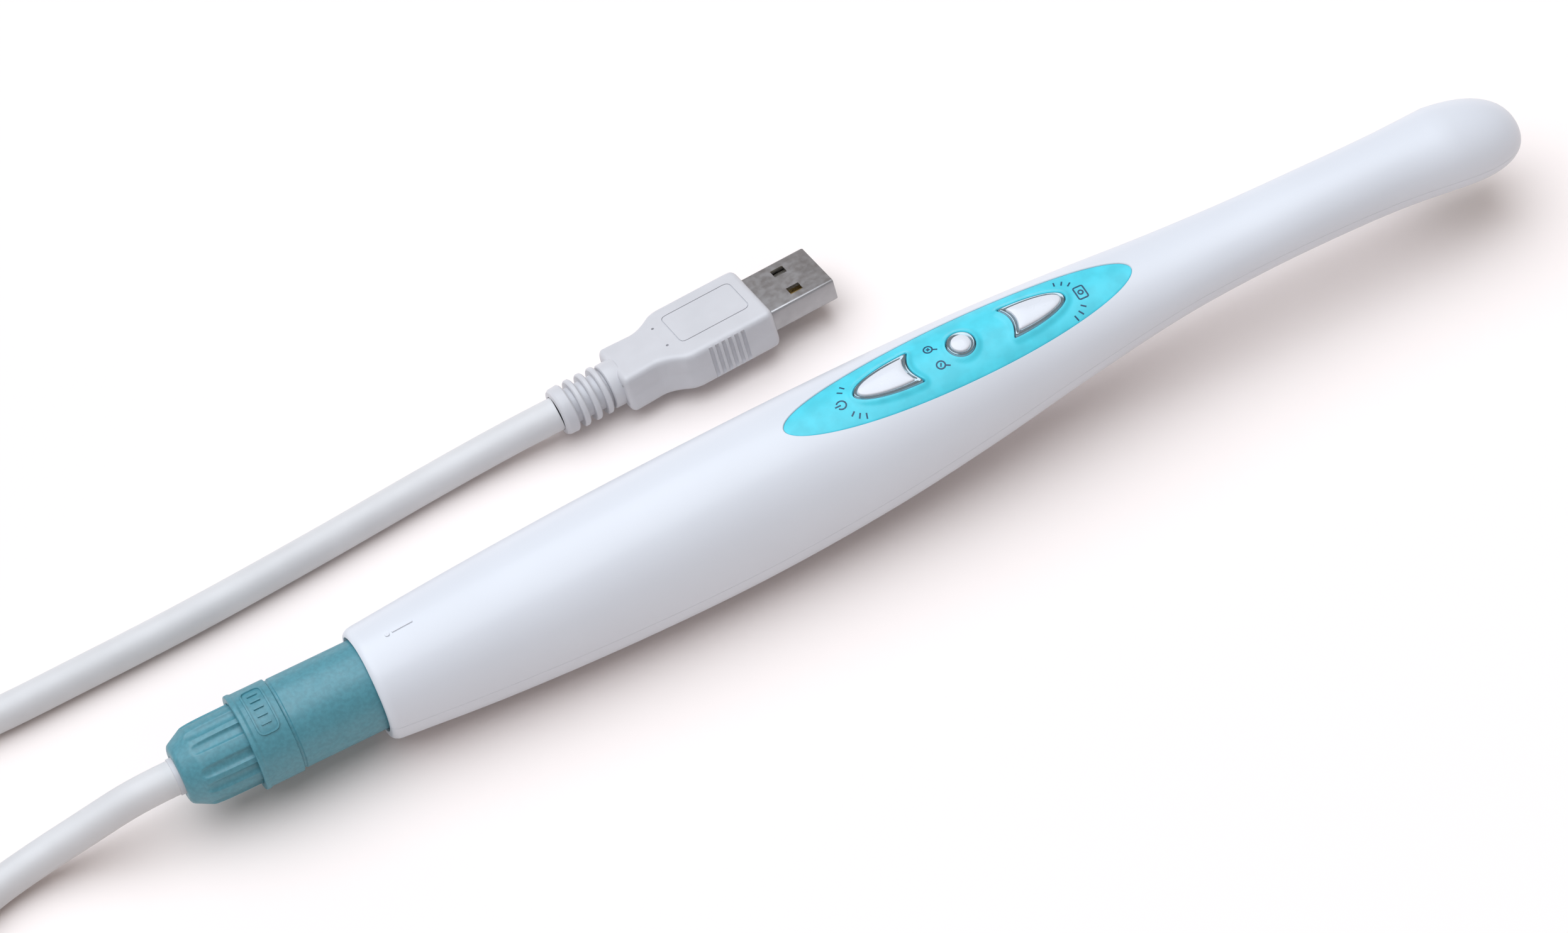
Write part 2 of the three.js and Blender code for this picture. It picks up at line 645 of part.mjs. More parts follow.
add("flex_connector", onBoard(FLEX_CONNECTOR), "insert_white");
add("flex_ribbon", makeFlexRibbon(), "flex_amber");
add("sensor_board", makeSensorBoard(), "board_green");
add("image_sensor", makeImageSensor(), "chip_black");
add("lens_holder", makeLensHolder(), "insert_black");
add("lens_barrel", makeLensBarrel(), "insert_black");
add("objective_lens", makeObjectiveLens(), "lens_glass");
add("led_board", makeLedBoard(), "board_green");
LED_PLACES.forEach(([x, y], i) => add(`led_lamp_${i + 1}`, makeLedLamp(x, y), "lamp_yellow"));
add("window_bezel", makeWindowBezel(), "white_gloss");
add("window_seal", makeWindowSeal(), "seal_black");
add("window_glass", makeWindowGlass(), "lens_glass");

// ---------------------------------------------------------------- the cable connector at the tail

const pinPlaces = Array.from({ length: PINS.count }, (_, i) => {
  const angle = (2 * Math.PI * i) / PINS.count + Math.PI / 2;
  return [PINS.circle * Math.cos(angle), AXIS_Z + PINS.circle * Math.sin(angle)];
});
const pinRods = (radius, from, to) => pinPlaces.map(([y, z]) => rodX(radius, from, to, y, z, 8));

function makeReleaseSleeve() {
  const { back, front, collarEnd, radius, collarRadius, bore, wideBore, chamfer } = SLEEVE;
  const wideBoreEnd = back + SLEEVE_TRAVEL + 2.5;
  return turnedX([
    [back, wideBore],
    [back, collarRadius - chamfer],
    [back + chamfer, collarRadius],
    [collarEnd, collarRadius],
    [collarEnd + chamfer, radius],
    [front, radius],
    [front, bore],
    [wideBoreEnd, bore],
    [wideBoreEnd, wideBore],
  ]);
}

function makeLatchBody() {
  const { back, front, bore, neckRadius, radius } = LATCH;
  const shoulder = SLEEVE.back + STACK_GAP;
  const outline = [
    [back, bore],
    [back, neckRadius],
    [shoulder, neckRadius],
    [shoulder, radius],
    [front, radius],
    [front, bore],
  ];
  return turnedX(outline, 20);
}

// The domed clamp nut, with pairs of flutes between its flat lands.
function makeClampNut() {
  const { back, front, radius, bore, hole, seat } = NUT;
  const nut = turnedX([
    [back, hole],
    ...NUT_DOME.map(([along, domeRadius]) => [back + along, domeRadius]),
    [front, radius],
    [front, bore],
    [seat, bore],
    [seat, hole],
  ]);
  const flutes = [];
  const circle = radius + FLUTES.outside;
  for (let land = 0; land < FLUTES.lands; land += 1) {
    for (const side of [-1, 1]) {
      const angle = ((land + 0.5) / FLUTES.lands) * 2 * Math.PI + side * FLUTES.spread;
      const y = circle * Math.cos(angle);
      const z = AXIS_Z + circle * Math.sin(angle);
      flutes.push(rodX(FLUTES.radius, FLUTES.end, front + 1, y, z, 24));
    }
  }
  return cut(nut, ...flutes);
}

// A ring that sits on the cable.
function makeRingOnCable({ back, front, radius }) {
  const bore = CABLE_RADIUS + FIT_GAP;
  const outline = [
    [back, bore],
    [back, radius],
    [front, radius],
    [front, bore],
  ];
  return turnedX(outline, 20);
}

// The pins are moulded into a round insert: they stand out of its front and back.
function makePinInsert() {
  const { back, front, radius } = INSERT;
  return join([rodX(radius, back, front), ...pinRods(PINS.radius, PINS.back, PINS.front)]);
}

// The socket in the tail: holes for the pins in front, soldered pins behind.
function makeSocketBody() {
  const { front, back, pinEnd, radius, holeRadius, holeEnd } = SOCKET;
  const body = cut(rodX(radius, front, back), ...pinRods(holeRadius, front - 1, holeEnd));
  return join([body, ...pinRods(PINS.radius, back - 1, pinEnd)]);
}

// The sleeved wires from the socket's pins to the plug on the main board.
function makeWireBundle() {
  const plugZ = BOARD_TOP + WIRE_PLUG.height / 2;
  const route = [
    [SOCKET.pinEnd + FIT_GAP, 0, AXIS_Z],
    [-67, 0, AXIS_Z + 0.8],
    [-63, 0, plugZ - 0.6],
    [WIRE_PLUG.x - WIRE_PLUG.sizeX / 2 - FIT_GAP, 0, plugZ],
  ];
  return tube(route, WIRE_BUNDLE_RADIUS, 8, 6);
}

add("release_sleeve", makeReleaseSleeve(), "teal_satin");
add("latch_body", makeLatchBody(), "insert_black");
add("clamp_nut", makeClampNut(), "teal_satin");
add("cable_clamp", makeRingOnCable(CLAMP), "insert_white");
add("cable_grommet", makeRingOnCable(GROMMET), "plug_white");
add("cable_end", rodX(CABLE_RADIUS, CABLE_START_X + FIT_GAP, CABLE_END_X, 0, AXIS_Z, 16), "cable_white");
add("pin_insert", makePinInsert(), "insert_black");
add("socket_body", makeSocketBody(), "insert_black");
add("wire_plug", onBoard(WIRE_PLUG), "insert_white");
add("wire_bundle", makeWireBundle(), "wire_grey");

// ---------------------------------------------------------------- the USB plug, in its own turned group
// In the group, the tip is at x = 0 and the cable leaves towards -X.

const plug = new THREE.Group();
const degrees = THREE.MathUtils.degToRad;
plug.position.copy(USB_TIP);
plug.rotation.set(degrees(USB_TURN.roll), degrees(USB_TURN.pitch), degrees(USB_TURN.yaw), "ZYX");
camera.add(plug);

// A folded steel shell, open at the tip, with two square windows above and below.
function makeUsbShell() {
  const { width, height, length, wall: sheet } = USB;
  const outside = block([-length, -width / 2, -height / 2], [0, width / 2, height / 2]);
  const halfY = width / 2 - sheet;
  const halfZ = height / 2 - sheet;
  const inside = block([-length - 1, -halfY, -halfZ], [1, halfY, halfZ]);
  const { back, front, y, half } = USB_WINDOWS;
  const windows = [-y, y].map((middle) =>
    block([back, middle - half, -height], [front, middle + half, height]),
  );
  return cut(outside, inside, ...windows);
}

// A contact strip on top of the tongue.
function makeUsbContact(y) {
  const bottom = TONGUE.top + STACK_GAP;
  return block([CONTACTS.back, y - CONTACTS.half, bottom], [CONTACTS.front, y + CONTACTS.half, bottom + 0.2]);
}

function makeUsbTongue() {
  const { front, half, bottom, top } = TONGUE;
  return block([-USB.length + STACK_GAP, -half, bottom], [front, half, top]);
}

// The grip seen from above: wide at the front, waisted, then narrower at the cable end.
function mouldShape() {
  const { front, shoulder, waist, back, half, backHalf } = MOULD;
  const corner = 1;
  const side = (sign) => [
    [front, sign * (half - corner)],
    [front - corner / 3, sign * (half - corner / 3)],
    [front - corner, sign * half],
    [shoulder, sign * half],
    [shoulder - 2.2, sign * (half - 0.5)],
    [shoulder - 3.8, sign * (backHalf + 0.6)],
    [shoulder - 5.2, sign * (backHalf - 0.05)],
    [waist, sign * (backHalf - 0.2)],
    [back + corner, sign * backHalf],
    [back, sign * (backHalf - corner)],
  ];
  return shapeOf([...side(-1), ...side(1).reverse()]);
}

// The moulded grip with its grooves, and the ringed strain relief behind it.
function makeUsbMould() {
  const halfZ = MOULD.height / 2;
  const across = roundedRectangle(halfZ, MOULD.half, MOULD.edge);
  const stretch = new THREE.ExtrudeGeometry(across, { depth: 44, bevelEnabled: false, curveSegments: 4 });
  stretch.rotateY(-Math.PI / 2);
  const grip = common(raised(mouldShape(), -halfZ, halfZ), solidFrom(stretch));
  const { count, first, spacing, half, depth, reach } = GROOVES;
  const grooves = [];
  for (let i = 0; i < count; i += 1) {
    for (const side of [-MOULD.half, MOULD.half]) {
      const x = first - i * spacing;
      grooves.push(block([x - half, side - depth, -reach], [x + half, side + depth, reach]));
    }
  }
  const ringed = [
    rodX(RELIEF.radius, RELIEF.end, MOULD.back + 1, 0, 0, 16),
    rodX(RELIEF.ringRadius, RELIEF.end, RELIEF.end + RELIEF.endRing, 0, 0, 16),
  ];
  for (let i = 0; i < RELIEF.rings; i += 1) {
    const x = RELIEF.firstRing + RELIEF.spacing * i;
    ringed.push(rodX(RELIEF.ringRadius, x - 0.6, x + 0.6, 0, 0, 16));
  }
  return join([cut(grip, ...grooves), ...ringed]);
}

add("usb_shell", makeUsbShell(), "plug_steel", plug);
add("usb_tongue", makeUsbTongue(), "insert_white", plug);
CONTACTS.places.forEach((y, i) => add(`usb_contact_${i + 1}`, makeUsbContact(y), "gold", plug));
add("usb_mould", makeUsbMould(), "plug_white", plug);

// ---------------------------------------------------------------- the free cable
// From the nut it sags to the table and runs to a tied coil; from the coil it runs back to the USB plug.

const NEAR_ROUTE = [
  [CABLE_START_X - FIT_GAP, 0, AXIS_Z],
  [-140, 0.4, 10.8],
  [-149, 1.3, 7.4],
  [-158, 1.7, 4.6],
  [-166, 0.8, 3.4],
  [-174, -1.9, 3.2],
  [-183, -7.2, 3.4],
  [-192, -12.7, 3.8],
  [-200.3, -17.8, 4.3],
];
const FAR_ROUTE = [
  [-41.5, 38.35, 5.4],
  [-52, 38.7, 4.2],
  [-66, 38.2, 3.3],
  [-90, 36, 3.2],
  [-115, 34.1, 3.2],
  [-138, 33.2, 3.2],
  [-152, 32.9, 3.2],
  [-165, 33.5, 3.2],
  [-177, 35.4, 3.8],
  [-189, 38.3, 5.6],
  [-200, 41.3, 8],
  [-209.2, 43.7, 9.6],
];

function makeCoil() {
  const { inner, outer, bottom, top } = COIL;
  const corner = CABLE_RADIUS - 0.5;
  const section = [];
  const corners = [
    [outer - corner, bottom + corner, -Math.PI / 2],
    [outer - corner, top - corner, 0],
    [inner + corner, top - corner, Math.PI / 2],
    [inner + corner, bottom + corner, Math.PI],
  ];
  for (const [radius, z, start] of corners) {
    for (const turn of [0, Math.PI / 4, Math.PI / 2]) {
      const angle = start + turn;
      section.push([z + corner * Math.sin(angle), radius + corner * Math.cos(angle)]);
    }
  }
  const points = [...section, section[0]].map(([z, radius]) => new THREE.Vector2(radius, z));
  const geometry = new THREE.LatheGeometry(points, 28);
  geometry.rotateX(Math.PI / 2);
  geometry.translate(COIL.x, COIL.y, 0);
  return solidFrom(geometry);
}

// A flat strap round the coil's bundle, on the side away from the handpiece.
function makeCoilTie() {
  const { strap, width, corner } = TIE;
  const x = -(COIL.inner + COIL.outer) / 2;
  const z = (COIL.bottom + COIL.top) / 2;
  const halfHeight = (COIL.top - COIL.bottom) / 2 + FIT_GAP;
  const halfReach = (COIL.outer - COIL.inner) / 2 + 2 * FIT_GAP;
  const ring = roundedRectangle(halfReach + strap, halfHeight + strap, corner, x, z);
  ring.holes.push(roundedRectangle(halfReach, halfHeight, corner - strap + 0.2, x, z));
  const geometry = new THREE.ExtrudeGeometry(ring, { depth: width, bevelEnabled: false, curveSegments: 3 });
  geometry.rotateX(Math.PI / 2);
  geometry.translate(COIL.x, COIL.y + width / 2, 0);
  return solidFrom(geometry);
}

add("cable_near", tube(NEAR_ROUTE, CABLE_RADIUS, 12, 8), "cable_white");
add("cable_far", tube(FAR_ROUTE, CABLE_RADIUS, 12, 12), "cable_white");
add("cable_coil", makeCoil(), "cable_white");
add("coil_tie", makeCoilTie(), "insert_black");

export default camera;
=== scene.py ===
"""Looks of the intraoral camera: a white dental camera handpiece, its push-pull cable connector,
its free USB cable and plug. All sizes are in millimetres until a mesh or a light is made."""

import json
import math

import bmesh
import bpy
import numpy as np
from mathutils import Matrix, Vector


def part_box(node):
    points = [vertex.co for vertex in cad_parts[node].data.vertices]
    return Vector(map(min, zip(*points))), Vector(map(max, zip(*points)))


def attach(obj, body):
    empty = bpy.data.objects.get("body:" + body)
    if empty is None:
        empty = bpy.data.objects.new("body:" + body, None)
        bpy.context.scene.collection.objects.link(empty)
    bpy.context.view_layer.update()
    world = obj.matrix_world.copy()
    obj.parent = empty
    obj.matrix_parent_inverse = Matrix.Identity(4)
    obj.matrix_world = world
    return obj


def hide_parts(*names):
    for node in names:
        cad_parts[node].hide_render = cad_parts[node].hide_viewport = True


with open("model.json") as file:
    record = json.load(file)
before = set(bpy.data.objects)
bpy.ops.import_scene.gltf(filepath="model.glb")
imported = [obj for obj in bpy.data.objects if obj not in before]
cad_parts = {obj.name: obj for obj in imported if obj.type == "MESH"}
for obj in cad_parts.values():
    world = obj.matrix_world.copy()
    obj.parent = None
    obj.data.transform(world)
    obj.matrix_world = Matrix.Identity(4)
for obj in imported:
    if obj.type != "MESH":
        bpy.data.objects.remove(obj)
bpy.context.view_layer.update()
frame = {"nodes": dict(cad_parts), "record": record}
MM = 0.001

# ---------------------------------------------------------------- camera

CAMERA_TARGET = Vector((-15.3, 0, 16.7))  # the point that the picture's middle looks at
CAMERA_DISTANCE = 884
CAMERA_AZIMUTH = -20.63  # degrees; 0 looks along +Y
CAMERA_ELEVATION = 54.63
CAMERA_ROLL = -8.62  # clockwise lean of the picture
CAMERA_LENS = 118.7  # on a 36 mm wide sensor


def make_camera():
    azimuth, elevation = math.radians(CAMERA_AZIMUTH), math.radians(CAMERA_ELEVATION)
    level = math.cos(elevation)
    back = Vector((math.sin(azimuth) * level, -math.cos(azimuth) * level, math.sin(elevation)))
    data = bpy.data.cameras.new("camera")
    data.lens = CAMERA_LENS
    data.sensor_width = 36
    data.clip_start, data.clip_end = 0.05, 20
    camera = bpy.data.objects.new("camera", data)
    look = (-back).to_track_quat("-Z", "Y").to_matrix()
    turn = Matrix.Rotation(math.radians(CAMERA_ROLL), 3, back)
    place = Matrix.Translation((CAMERA_TARGET + back * CAMERA_DISTANCE) * MM)
    camera.matrix_world = place @ (turn @ look).to_4x4()
    bpy.context.scene.collection.objects.link(camera)
    bpy.context.scene.camera = camera


make_camera()

# ---------------------------------------------------------------- materials


class Surface:
    """A node material: patchy tone, uneven roughness and fine grain, all from noise."""

    def __init__(self, name, color, roughness, finish):
        self.material = bpy.data.materials.new(name)
        self.material.use_nodes = True
        self.tree = self.material.node_tree
        self.shader = self.tree.nodes["Principled BSDF"]
        self.place = self.tree.nodes.new("ShaderNodeTexCoord").outputs["Object"]
        self.color, self.roughness = color, roughness
        for socket, value in finish.items():
            self.shader.inputs[socket].default_value = value

    def link(self, source, target):
        self.tree.links.new(source, target)

    def noise(self, size, detail=3):
        """Noise whose patches are about size millimetres across, from 0 to 1."""
        texture = self.tree.nodes.new("ShaderNodeTexNoise")
        texture.inputs["Scale"].default_value = 1 / (size * MM)
        texture.inputs["Detail"].default_value = detail
        self.link(self.place, texture.inputs["Vector"])
        return texture.outputs["Fac"]

    def ranged(self, source, low, high):
        """The middle of a noise's range, stretched to run from low to high."""
        node = self.tree.nodes.new("ShaderNodeMapRange")
        for socket, value in zip(("From Min", "From Max", "To Min", "To Max"), (0.35, 0.65, low, high)):
            node.inputs[socket].default_value = value
        self.link(source, node.inputs["Value"])
        return node.outputs["Result"]

    def toned(self, size, spread):
        """Colour that darkens by up to spread, in patches of that size."""
        mix = self.tree.nodes.new("ShaderNodeMix")
        mix.data_type = "RGBA"
        factor, first, second = mix.inputs[0], mix.inputs[6], mix.inputs[7]
        first.default_value = (*self.color, 1)
        second.default_value = (*(c * (1 - spread) for c in self.color), 1)
        self.link(self.ranged(self.noise(size), 0, 1), factor)
        self.link(mix.outputs[2], self.shader.inputs["Base Color"])
        return self

    def worn(self, size, spread):
        """Roughness that wanders by spread either way."""
        low, high = self.roughness - spread, self.roughness + spread
        self.link(self.ranged(self.noise(size), low, high), self.shader.inputs["Roughness"])
        return self

    def grained(self, size, depth):
        """Bumps depth millimetres high."""
        bump = self.tree.nodes.new("ShaderNodeBump")
        bump.inputs["Strength"].default_value = 1
        bump.inputs["Distance"].default_value = depth * MM
        self.link(self.noise(size, 2), bump.inputs["Height"])
        self.link(bump.outputs["Normal"], self.shader.inputs["Normal"])
        return self


# Colour, roughness, then (patch size, spread) of tone and of wear, and (size, depth) of the grain.
SURFACES = {
    "shell_plastic": ((0.66, 0.69, 0.745), 0.38, (30, 0.03), (14, 0.03), (0.5, 0.0012)),
    "panel_film": ((0.075, 0.62, 0.76), 0.34, (3, 0.12), (2, 0.05), (0.22, 0.004)),
    "button_plastic": ((0.66, 0.69, 0.745), 0.28, (6, 0.02), (4, 0.03), (0.5, 0.001)),
    # The button rim is a glossy metal-look bevel; its dark grey-teal colour is painted shade standing for the
    # shade in the groove round each button.
    "button_rim_painted_shade": ((0.3, 0.38, 0.42), 0.16, (2, 0.15), (1.5, 0.04), (0.6, 0.001)),
    "mark_ink": ((0.008, 0.07, 0.15), 0.4, (0.6, 0.25), (0.5, 0.05), (0.2, 0.001)),
    "connector_plastic": ((0.07, 0.265, 0.33), 0.42, (0.7, 0.16), (2, 0.06), (0.18, 0.006)),
    "cable_jacket": ((0.62, 0.625, 0.64), 0.42, (9, 0.05), (4, 0.05), (0.35, 0.004)),
    "plug_mould": ((0.57, 0.575, 0.605), 0.4, (7, 0.05), (3, 0.05), (0.25, 0.005)),
    "plug_steel": ((0.41, 0.41, 0.42), 0.38, (2.5, 0.08), (1.2, 0.06), (0.3, 0.003)),
    "contact_gold": ((0.83, 0.6, 0.24), 0.26, (1, 0.15), (0.8, 0.06), (0.3, 0.001)),
    "board_green": ((0.018, 0.16, 0.07), 0.4, (1.4, 0.5), (1, 0.1), (0.5, 0.006)),
    "flex_amber": ((0.42, 0.19, 0.035), 0.3, (2, 0.3), (1.5, 0.06), (0.6, 0.003)),
    "chip_black": ((0.02, 0.02, 0.022), 0.55, (0.8, 0.4), (0.5, 0.08), (0.12, 0.004)),
    "insert_black": ((0.028, 0.029, 0.031), 0.45, (2, 0.3), (1, 0.08), (0.2, 0.004)),
    "insert_white": ((0.72, 0.7, 0.64), 0.45, (3, 0.08), (1, 0.06), (0.2, 0.003)),
    "screw_steel": ((0.5, 0.51, 0.52), 0.28, (0.8, 0.15), (0.4, 0.08), (0.2, 0.003)),
    "lamp_yellow": ((0.75, 0.62, 0.2), 0.25, (0.5, 0.15), (0.4, 0.05), (0.1, 0.002)),
    "seal_black": ((0.02, 0.02, 0.02), 0.75, (1, 0.3), (0.6, 0.06), (0.1, 0.006)),
    "wire_grey": ((0.17, 0.17, 0.18), 0.6, (0.5, 0.4), (0.6, 0.08), (0.15, 0.03)),
    "lens_glass": ((0.9, 0.96, 0.97), 0.05, (4, 0.03), (3, 0.02), (2, 0.0003)),
    "strap_weave": ((0.03, 0.031, 0.034), 0.8, (0.5, 0.5), (0.5, 0.06), (0.25, 0.08)),
}
# Constants set on the shader itself.
FINISHES = {
    "shell_plastic": {"Coat Weight": 0.12, "Coat Roughness": 0.2},
    "panel_film": {"Specular IOR Level": 0.4},
    "button_plastic": {"Coat Weight": 0.2},
    "button_rim_painted_shade": {"Metallic": 0.8},
    "connector_plastic": {"Specular IOR Level": 0.7},
    "cable_jacket": {"Sheen Weight": 0.08},
    "plug_steel": {"Metallic": 1},
    "contact_gold": {"Metallic": 1},
    "screw_steel": {"Metallic": 1},
    "lamp_yellow": {"Coat Weight": 0.5},
    "lens_glass": {"Transmission Weight": 1, "IOR": 1.45, "Coat Weight": 0.3},
    "strap_weave": {"Sheen Weight": 0.6},
}


def make_materials():
    made = {}
    for name, (color, roughness, tone, wear, grain) in SURFACES.items():
        surface = Surface(name, color, roughness, FINISHES.get(name, {}))
        made[name] = surface.toned(*tone).worn(*wear).grained(*grain).material
    return made


MATERIALS = make_materials()

# ---------------------------------------------------------------- mesh helpers


def skin(rings, ends="fan"):
    """Vertices and faces through rings of points, whose ends close on their middles or on each other."""
    count = len(rings[0])
    vertices = [tuple(p) for ring in rings for p in ring]
    faces = []
    spans = len(rings) if ends == "loop" else len(rings) - 1
    for ring in range(spans):
        here, there = ring * count, (ring + 1) % len(rings) * count
        for k in range(count):
            following = (k + 1) % count
            faces.append((here + k, here + following, there + following, there + k))
    if ends == "fan":
        for start, ring in ((0, rings[0]), ((len(rings) - 1) * count, rings[-1])):
            vertices.append(tuple(np.mean(np.array(ring), axis=0)))
            middle = len(vertices) - 1
            faces += [(start + k, start + (k + 1) % count, middle) for k in range(count)]
    return vertices, faces


def link_mesh(name, vertices, faces, turn=None):
    """A closed mesh object from points in millimetres, its faces looking outwards."""
    mesh = bpy.data.meshes.new(name)
    place = turn or Matrix.Identity(4)
    mesh.from_pydata([(place @ Vector(v)) * MM for v in vertices], [], faces)
    shape = bmesh.new()
    shape.from_mesh(mesh)
    bmesh.ops.recalc_face_normals(shape, faces=shape.faces)
    shape.to_mesh(mesh)
    shape.free()
    piece = bpy.data.objects.new(name, mesh)
    bpy.context.scene.collection.objects.link(piece)
    return piece


def carve(piece, cutter, operation="DIFFERENCE"):
    """An exact boolean, applied at once; the cutter is used up."""
    modifier = piece.modifiers.new("carve", "BOOLEAN")
    modifier.operation, modifier.solver, modifier.object = operation, "EXACT", cutter
    bpy.context.view_layer.update()
    whole = piece.evaluated_get(bpy.context.evaluated_depsgraph_get())
    mesh = bpy.data.meshes.new_from_object(whole)
    piece.modifiers.clear()
    piece.data = mesh
    bpy.data.objects.remove(cutter)


def finish_piece(piece, slot, body="handpiece", stands_for=(), sharp=38, look=None):
    """Smooth shading with sharp edges, its materials, its body and the CAD nodes it stands for."""
    mesh = piece.data
    mesh.name = piece.name
    if not mesh.materials:
        mesh.materials.append(MATERIALS[look or slot])
    mesh.shade_smooth()
    mesh.set_sharp_from_angle(angle=math.radians(sharp))
    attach(piece, body)
    if stands_for:
        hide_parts(*stands_for)
    return piece


def rounded(corners, radius, steps=3):
    """A closed outline with its corners rounded; radius is one number or one for each corner."""
    radii = radius if isinstance(radius, (list, tuple)) else [radius] * len(corners)
    points = []
    for i, (corner, r) in enumerate(zip(corners, radii)):
        corner = Vector(corner)
        before, after = Vector(corners[i - 1]) - corner, Vector(corners[(i + 1) % len(corners)]) - corner
        if r <= 0:
            points.append(tuple(corner))
            continue
        half = before.angle(after) / 2
        reach = min(r / math.tan(half), before.length * 0.49, after.length * 0.49)
        start, end = corner + before.normalized() * reach, corner + after.normalized() * reach
        for k in range(steps + 1):
            t = k / steps
            points.append(tuple(start * (1 - t) ** 2 + corner * 2 * t * (1 - t) + end * t * t))
    return points


def around(count):
    """Angles evenly spaced round a circle, in radians."""
    return np.linspace(0, 2 * math.pi, count, endpoint=False)


AXIS_Z = 11.9  # height of the cable connector's axis


def lathed(name, outline, sides=96, radius_at=None, turn=None, z=AXIS_Z):
    """A body turned about an axis along X from a closed outline of (x, radius)."""
    angles = [2 * math.pi * k / sides for k in range(sides)]
    rings = []
    for x, radius in outline:
        radii = [radius_at(x, radius, a) if radius_at else radius for a in angles]
        rings.append([(x, r * math.cos(a), z + r * math.sin(a)) for a, r in zip(angles, radii)])
    return link_mesh(name, *skin(rings, "loop"), turn)


# ---------------------------------------------------------------- the cable
# From the clamp nut it sags to the table and into a tied coil; from the coil it runs back to the plug.

CABLE_DIAMETER = 6.2
COIL_CENTRE = Vector((-245, 7, 0))
COIL_FIRST_RADIUS = 25.6
COIL_SPACING = 6.25
COIL_FLOOR = 4.55  # height of the lowest turns' centre, on the tie
# Each turn's column, counted outwards, and layer, counted upwards.
COIL_TURNS = [(3, 0), (2, 0), (1, 0), (0, 0), (0, 1), (1, 1), (2, 1), (1, 2), (2, 2), (3, 1)]
COIL_ENTRY_ANGLE = -58.6
COIL_EXIT_ANGLE = 75.2
COIL_EASE = 0.6  # a turn keeps its own place for this share of its way round
TURN_STEPS = 40
NEAR_ROUTE = [
    (-131.2, 0, 11.9),
    (-135, 0.1, 11.7),
    (-140, 0.4, 10.8),
    (-149, 1.3, 7.4),
    (-158, 1.7, 4.6),
    (-166, 0.8, 3.4),
    (-174, -1.9, 3.2),
    (-183, -7.2, 3.4),
    (-192, -12.7, 3.8),
    (-200.3, -17.8, 4.3),
    (-212, -24.9, 4.5),
]
FAR_ROUTE = [
    (-222, 47.1, 10.6),
    (-209.2, 43.7, 9.6),
    (-200, 41.3, 8),
    (-189, 38.3, 5.6),
    (-177, 35.4, 3.8),
    (-165, 33.5, 3.2),
    (-152, 32.9, 3.2),
    (-138, 33.2, 3.2),
    (-115, 34.1, 3.2),
    (-90, 36, 3.2),
    (-66, 38.2, 3.3),
    (-52, 38.7, 4.2),
    (-41.4, 38.35, 5.45),
]


def spline_through(points, per_piece):
    """Centripetal Catmull-Rom points along a route of given points."""
    points = [Vector(p) for p in points]
    padded = [2 * points[0] - points[1], *points, 2 * points[-1] - points[-2]]
    line = []
    for i in range(1, len(padded) - 2):
        p0, p1, p2, p3 = padded[i - 1 : i + 3]
        t0 = 0
        t1 = t0 + (p1 - p0).length ** 0.5
        t2 = t1 + (p2 - p1).length ** 0.5
        t3 = t2 + (p3 - p2).length ** 0.5
        for k in range(per_piece):
            t = t1 + (t2 - t1) * k / per_piece
            a1 = p0 * (t1 - t) / (t1 - t0) + p1 * (t - t0) / (t1 - t0)
            a2 = p1 * (t2 - t) / (t2 - t1) + p2 * (t - t1) / (t2 - t1)
            a3 = p2 * (t3 - t) / (t3 - t2) + p3 * (t - t2) / (t3 - t2)
            b1 = a1 * (t2 - t) / (t2 - t0) + a2 * (t - t0) / (t2 - t0)
            b2 = a2 * (t3 - t) / (t3 - t1) + a3 * (t - t1) / (t3 - t1)
            line.append(b1 * (t2 - t) / (t2 - t1) + b2 * (t - t1) / (t2 - t1))
    line.append(points[-1])
    return line


def coil_line():
    """The coil's turns as one line, clockwise from above, easing from each turn's place to the next."""
    part = ((COIL_ENTRY_ANGLE - COIL_EXIT_ANGLE) % 360) / 360
    steps = round((len(COIL_TURNS) - 1 + part) * TURN_STEPS)
    line = []
    for i in range(steps + 1):
        turned = (len(COIL_TURNS) - 1 + part) * i / steps
        turn = min(int(turned), len(COIL_TURNS) - 1)
        following = COIL_TURNS[min(turn + 1, len(COIL_TURNS) - 1)]
        ease = max(0, (turned - turn - COIL_EASE) / (1 - COIL_EASE))
        ease = ease * ease * (3 - 2 * ease)
        column, layer = (a + (b - a) * ease for a, b in zip(COIL_TURNS[turn], following))
        angle = math.radians(COIL_ENTRY_ANGLE - 360 * turned)
        radius = COIL_FIRST_RADIUS + COIL_SPACING * column
        height = COIL_FLOOR + COIL_SPACING * layer
        line.append(COIL_CENTRE + Vector((radius * math.cos(angle), radius * math.sin(angle), height)))
    return line


def tube_along(name, line, radius, sides):
    """A closed round tube along a line of points, its rings turned as little as possible."""
    side = (line[1] - line[0]).cross(Vector((0, 0, 1))).normalized()
    angles = [2 * math.pi * k / sides for k in range(sides)]
    rings = []
    for i, point in enumerate(line):
        ahead = line[min(i + 1, len(line) - 1)] - line[max(i - 1, 0)]
        tangent = ahead.normalized()
        side = (side - tangent * side.dot(tangent)).normalized()
        up = tangent.cross(side)
        rings.append([point + (side * math.cos(a) + up * math.sin(a)) * radius for a in angles])
    return link_mesh(name, *skin(rings))


def make_cable():
    route = spline_through(NEAR_ROUTE, 8)[:-1] + coil_line() + spline_through(FAR_ROUTE, 8)[1:]
    cable = tube_along("free_cable", route, CABLE_DIAMETER / 2, 28)
    finish_piece(cable, "cable_jacket", stands_for=("cable_near", "cable_coil", "cable_far"), sharp=60)
    return cable, route


free_cable, cable_route = make_cable()

# ---------------------------------------------------------------- the handpiece's outer form

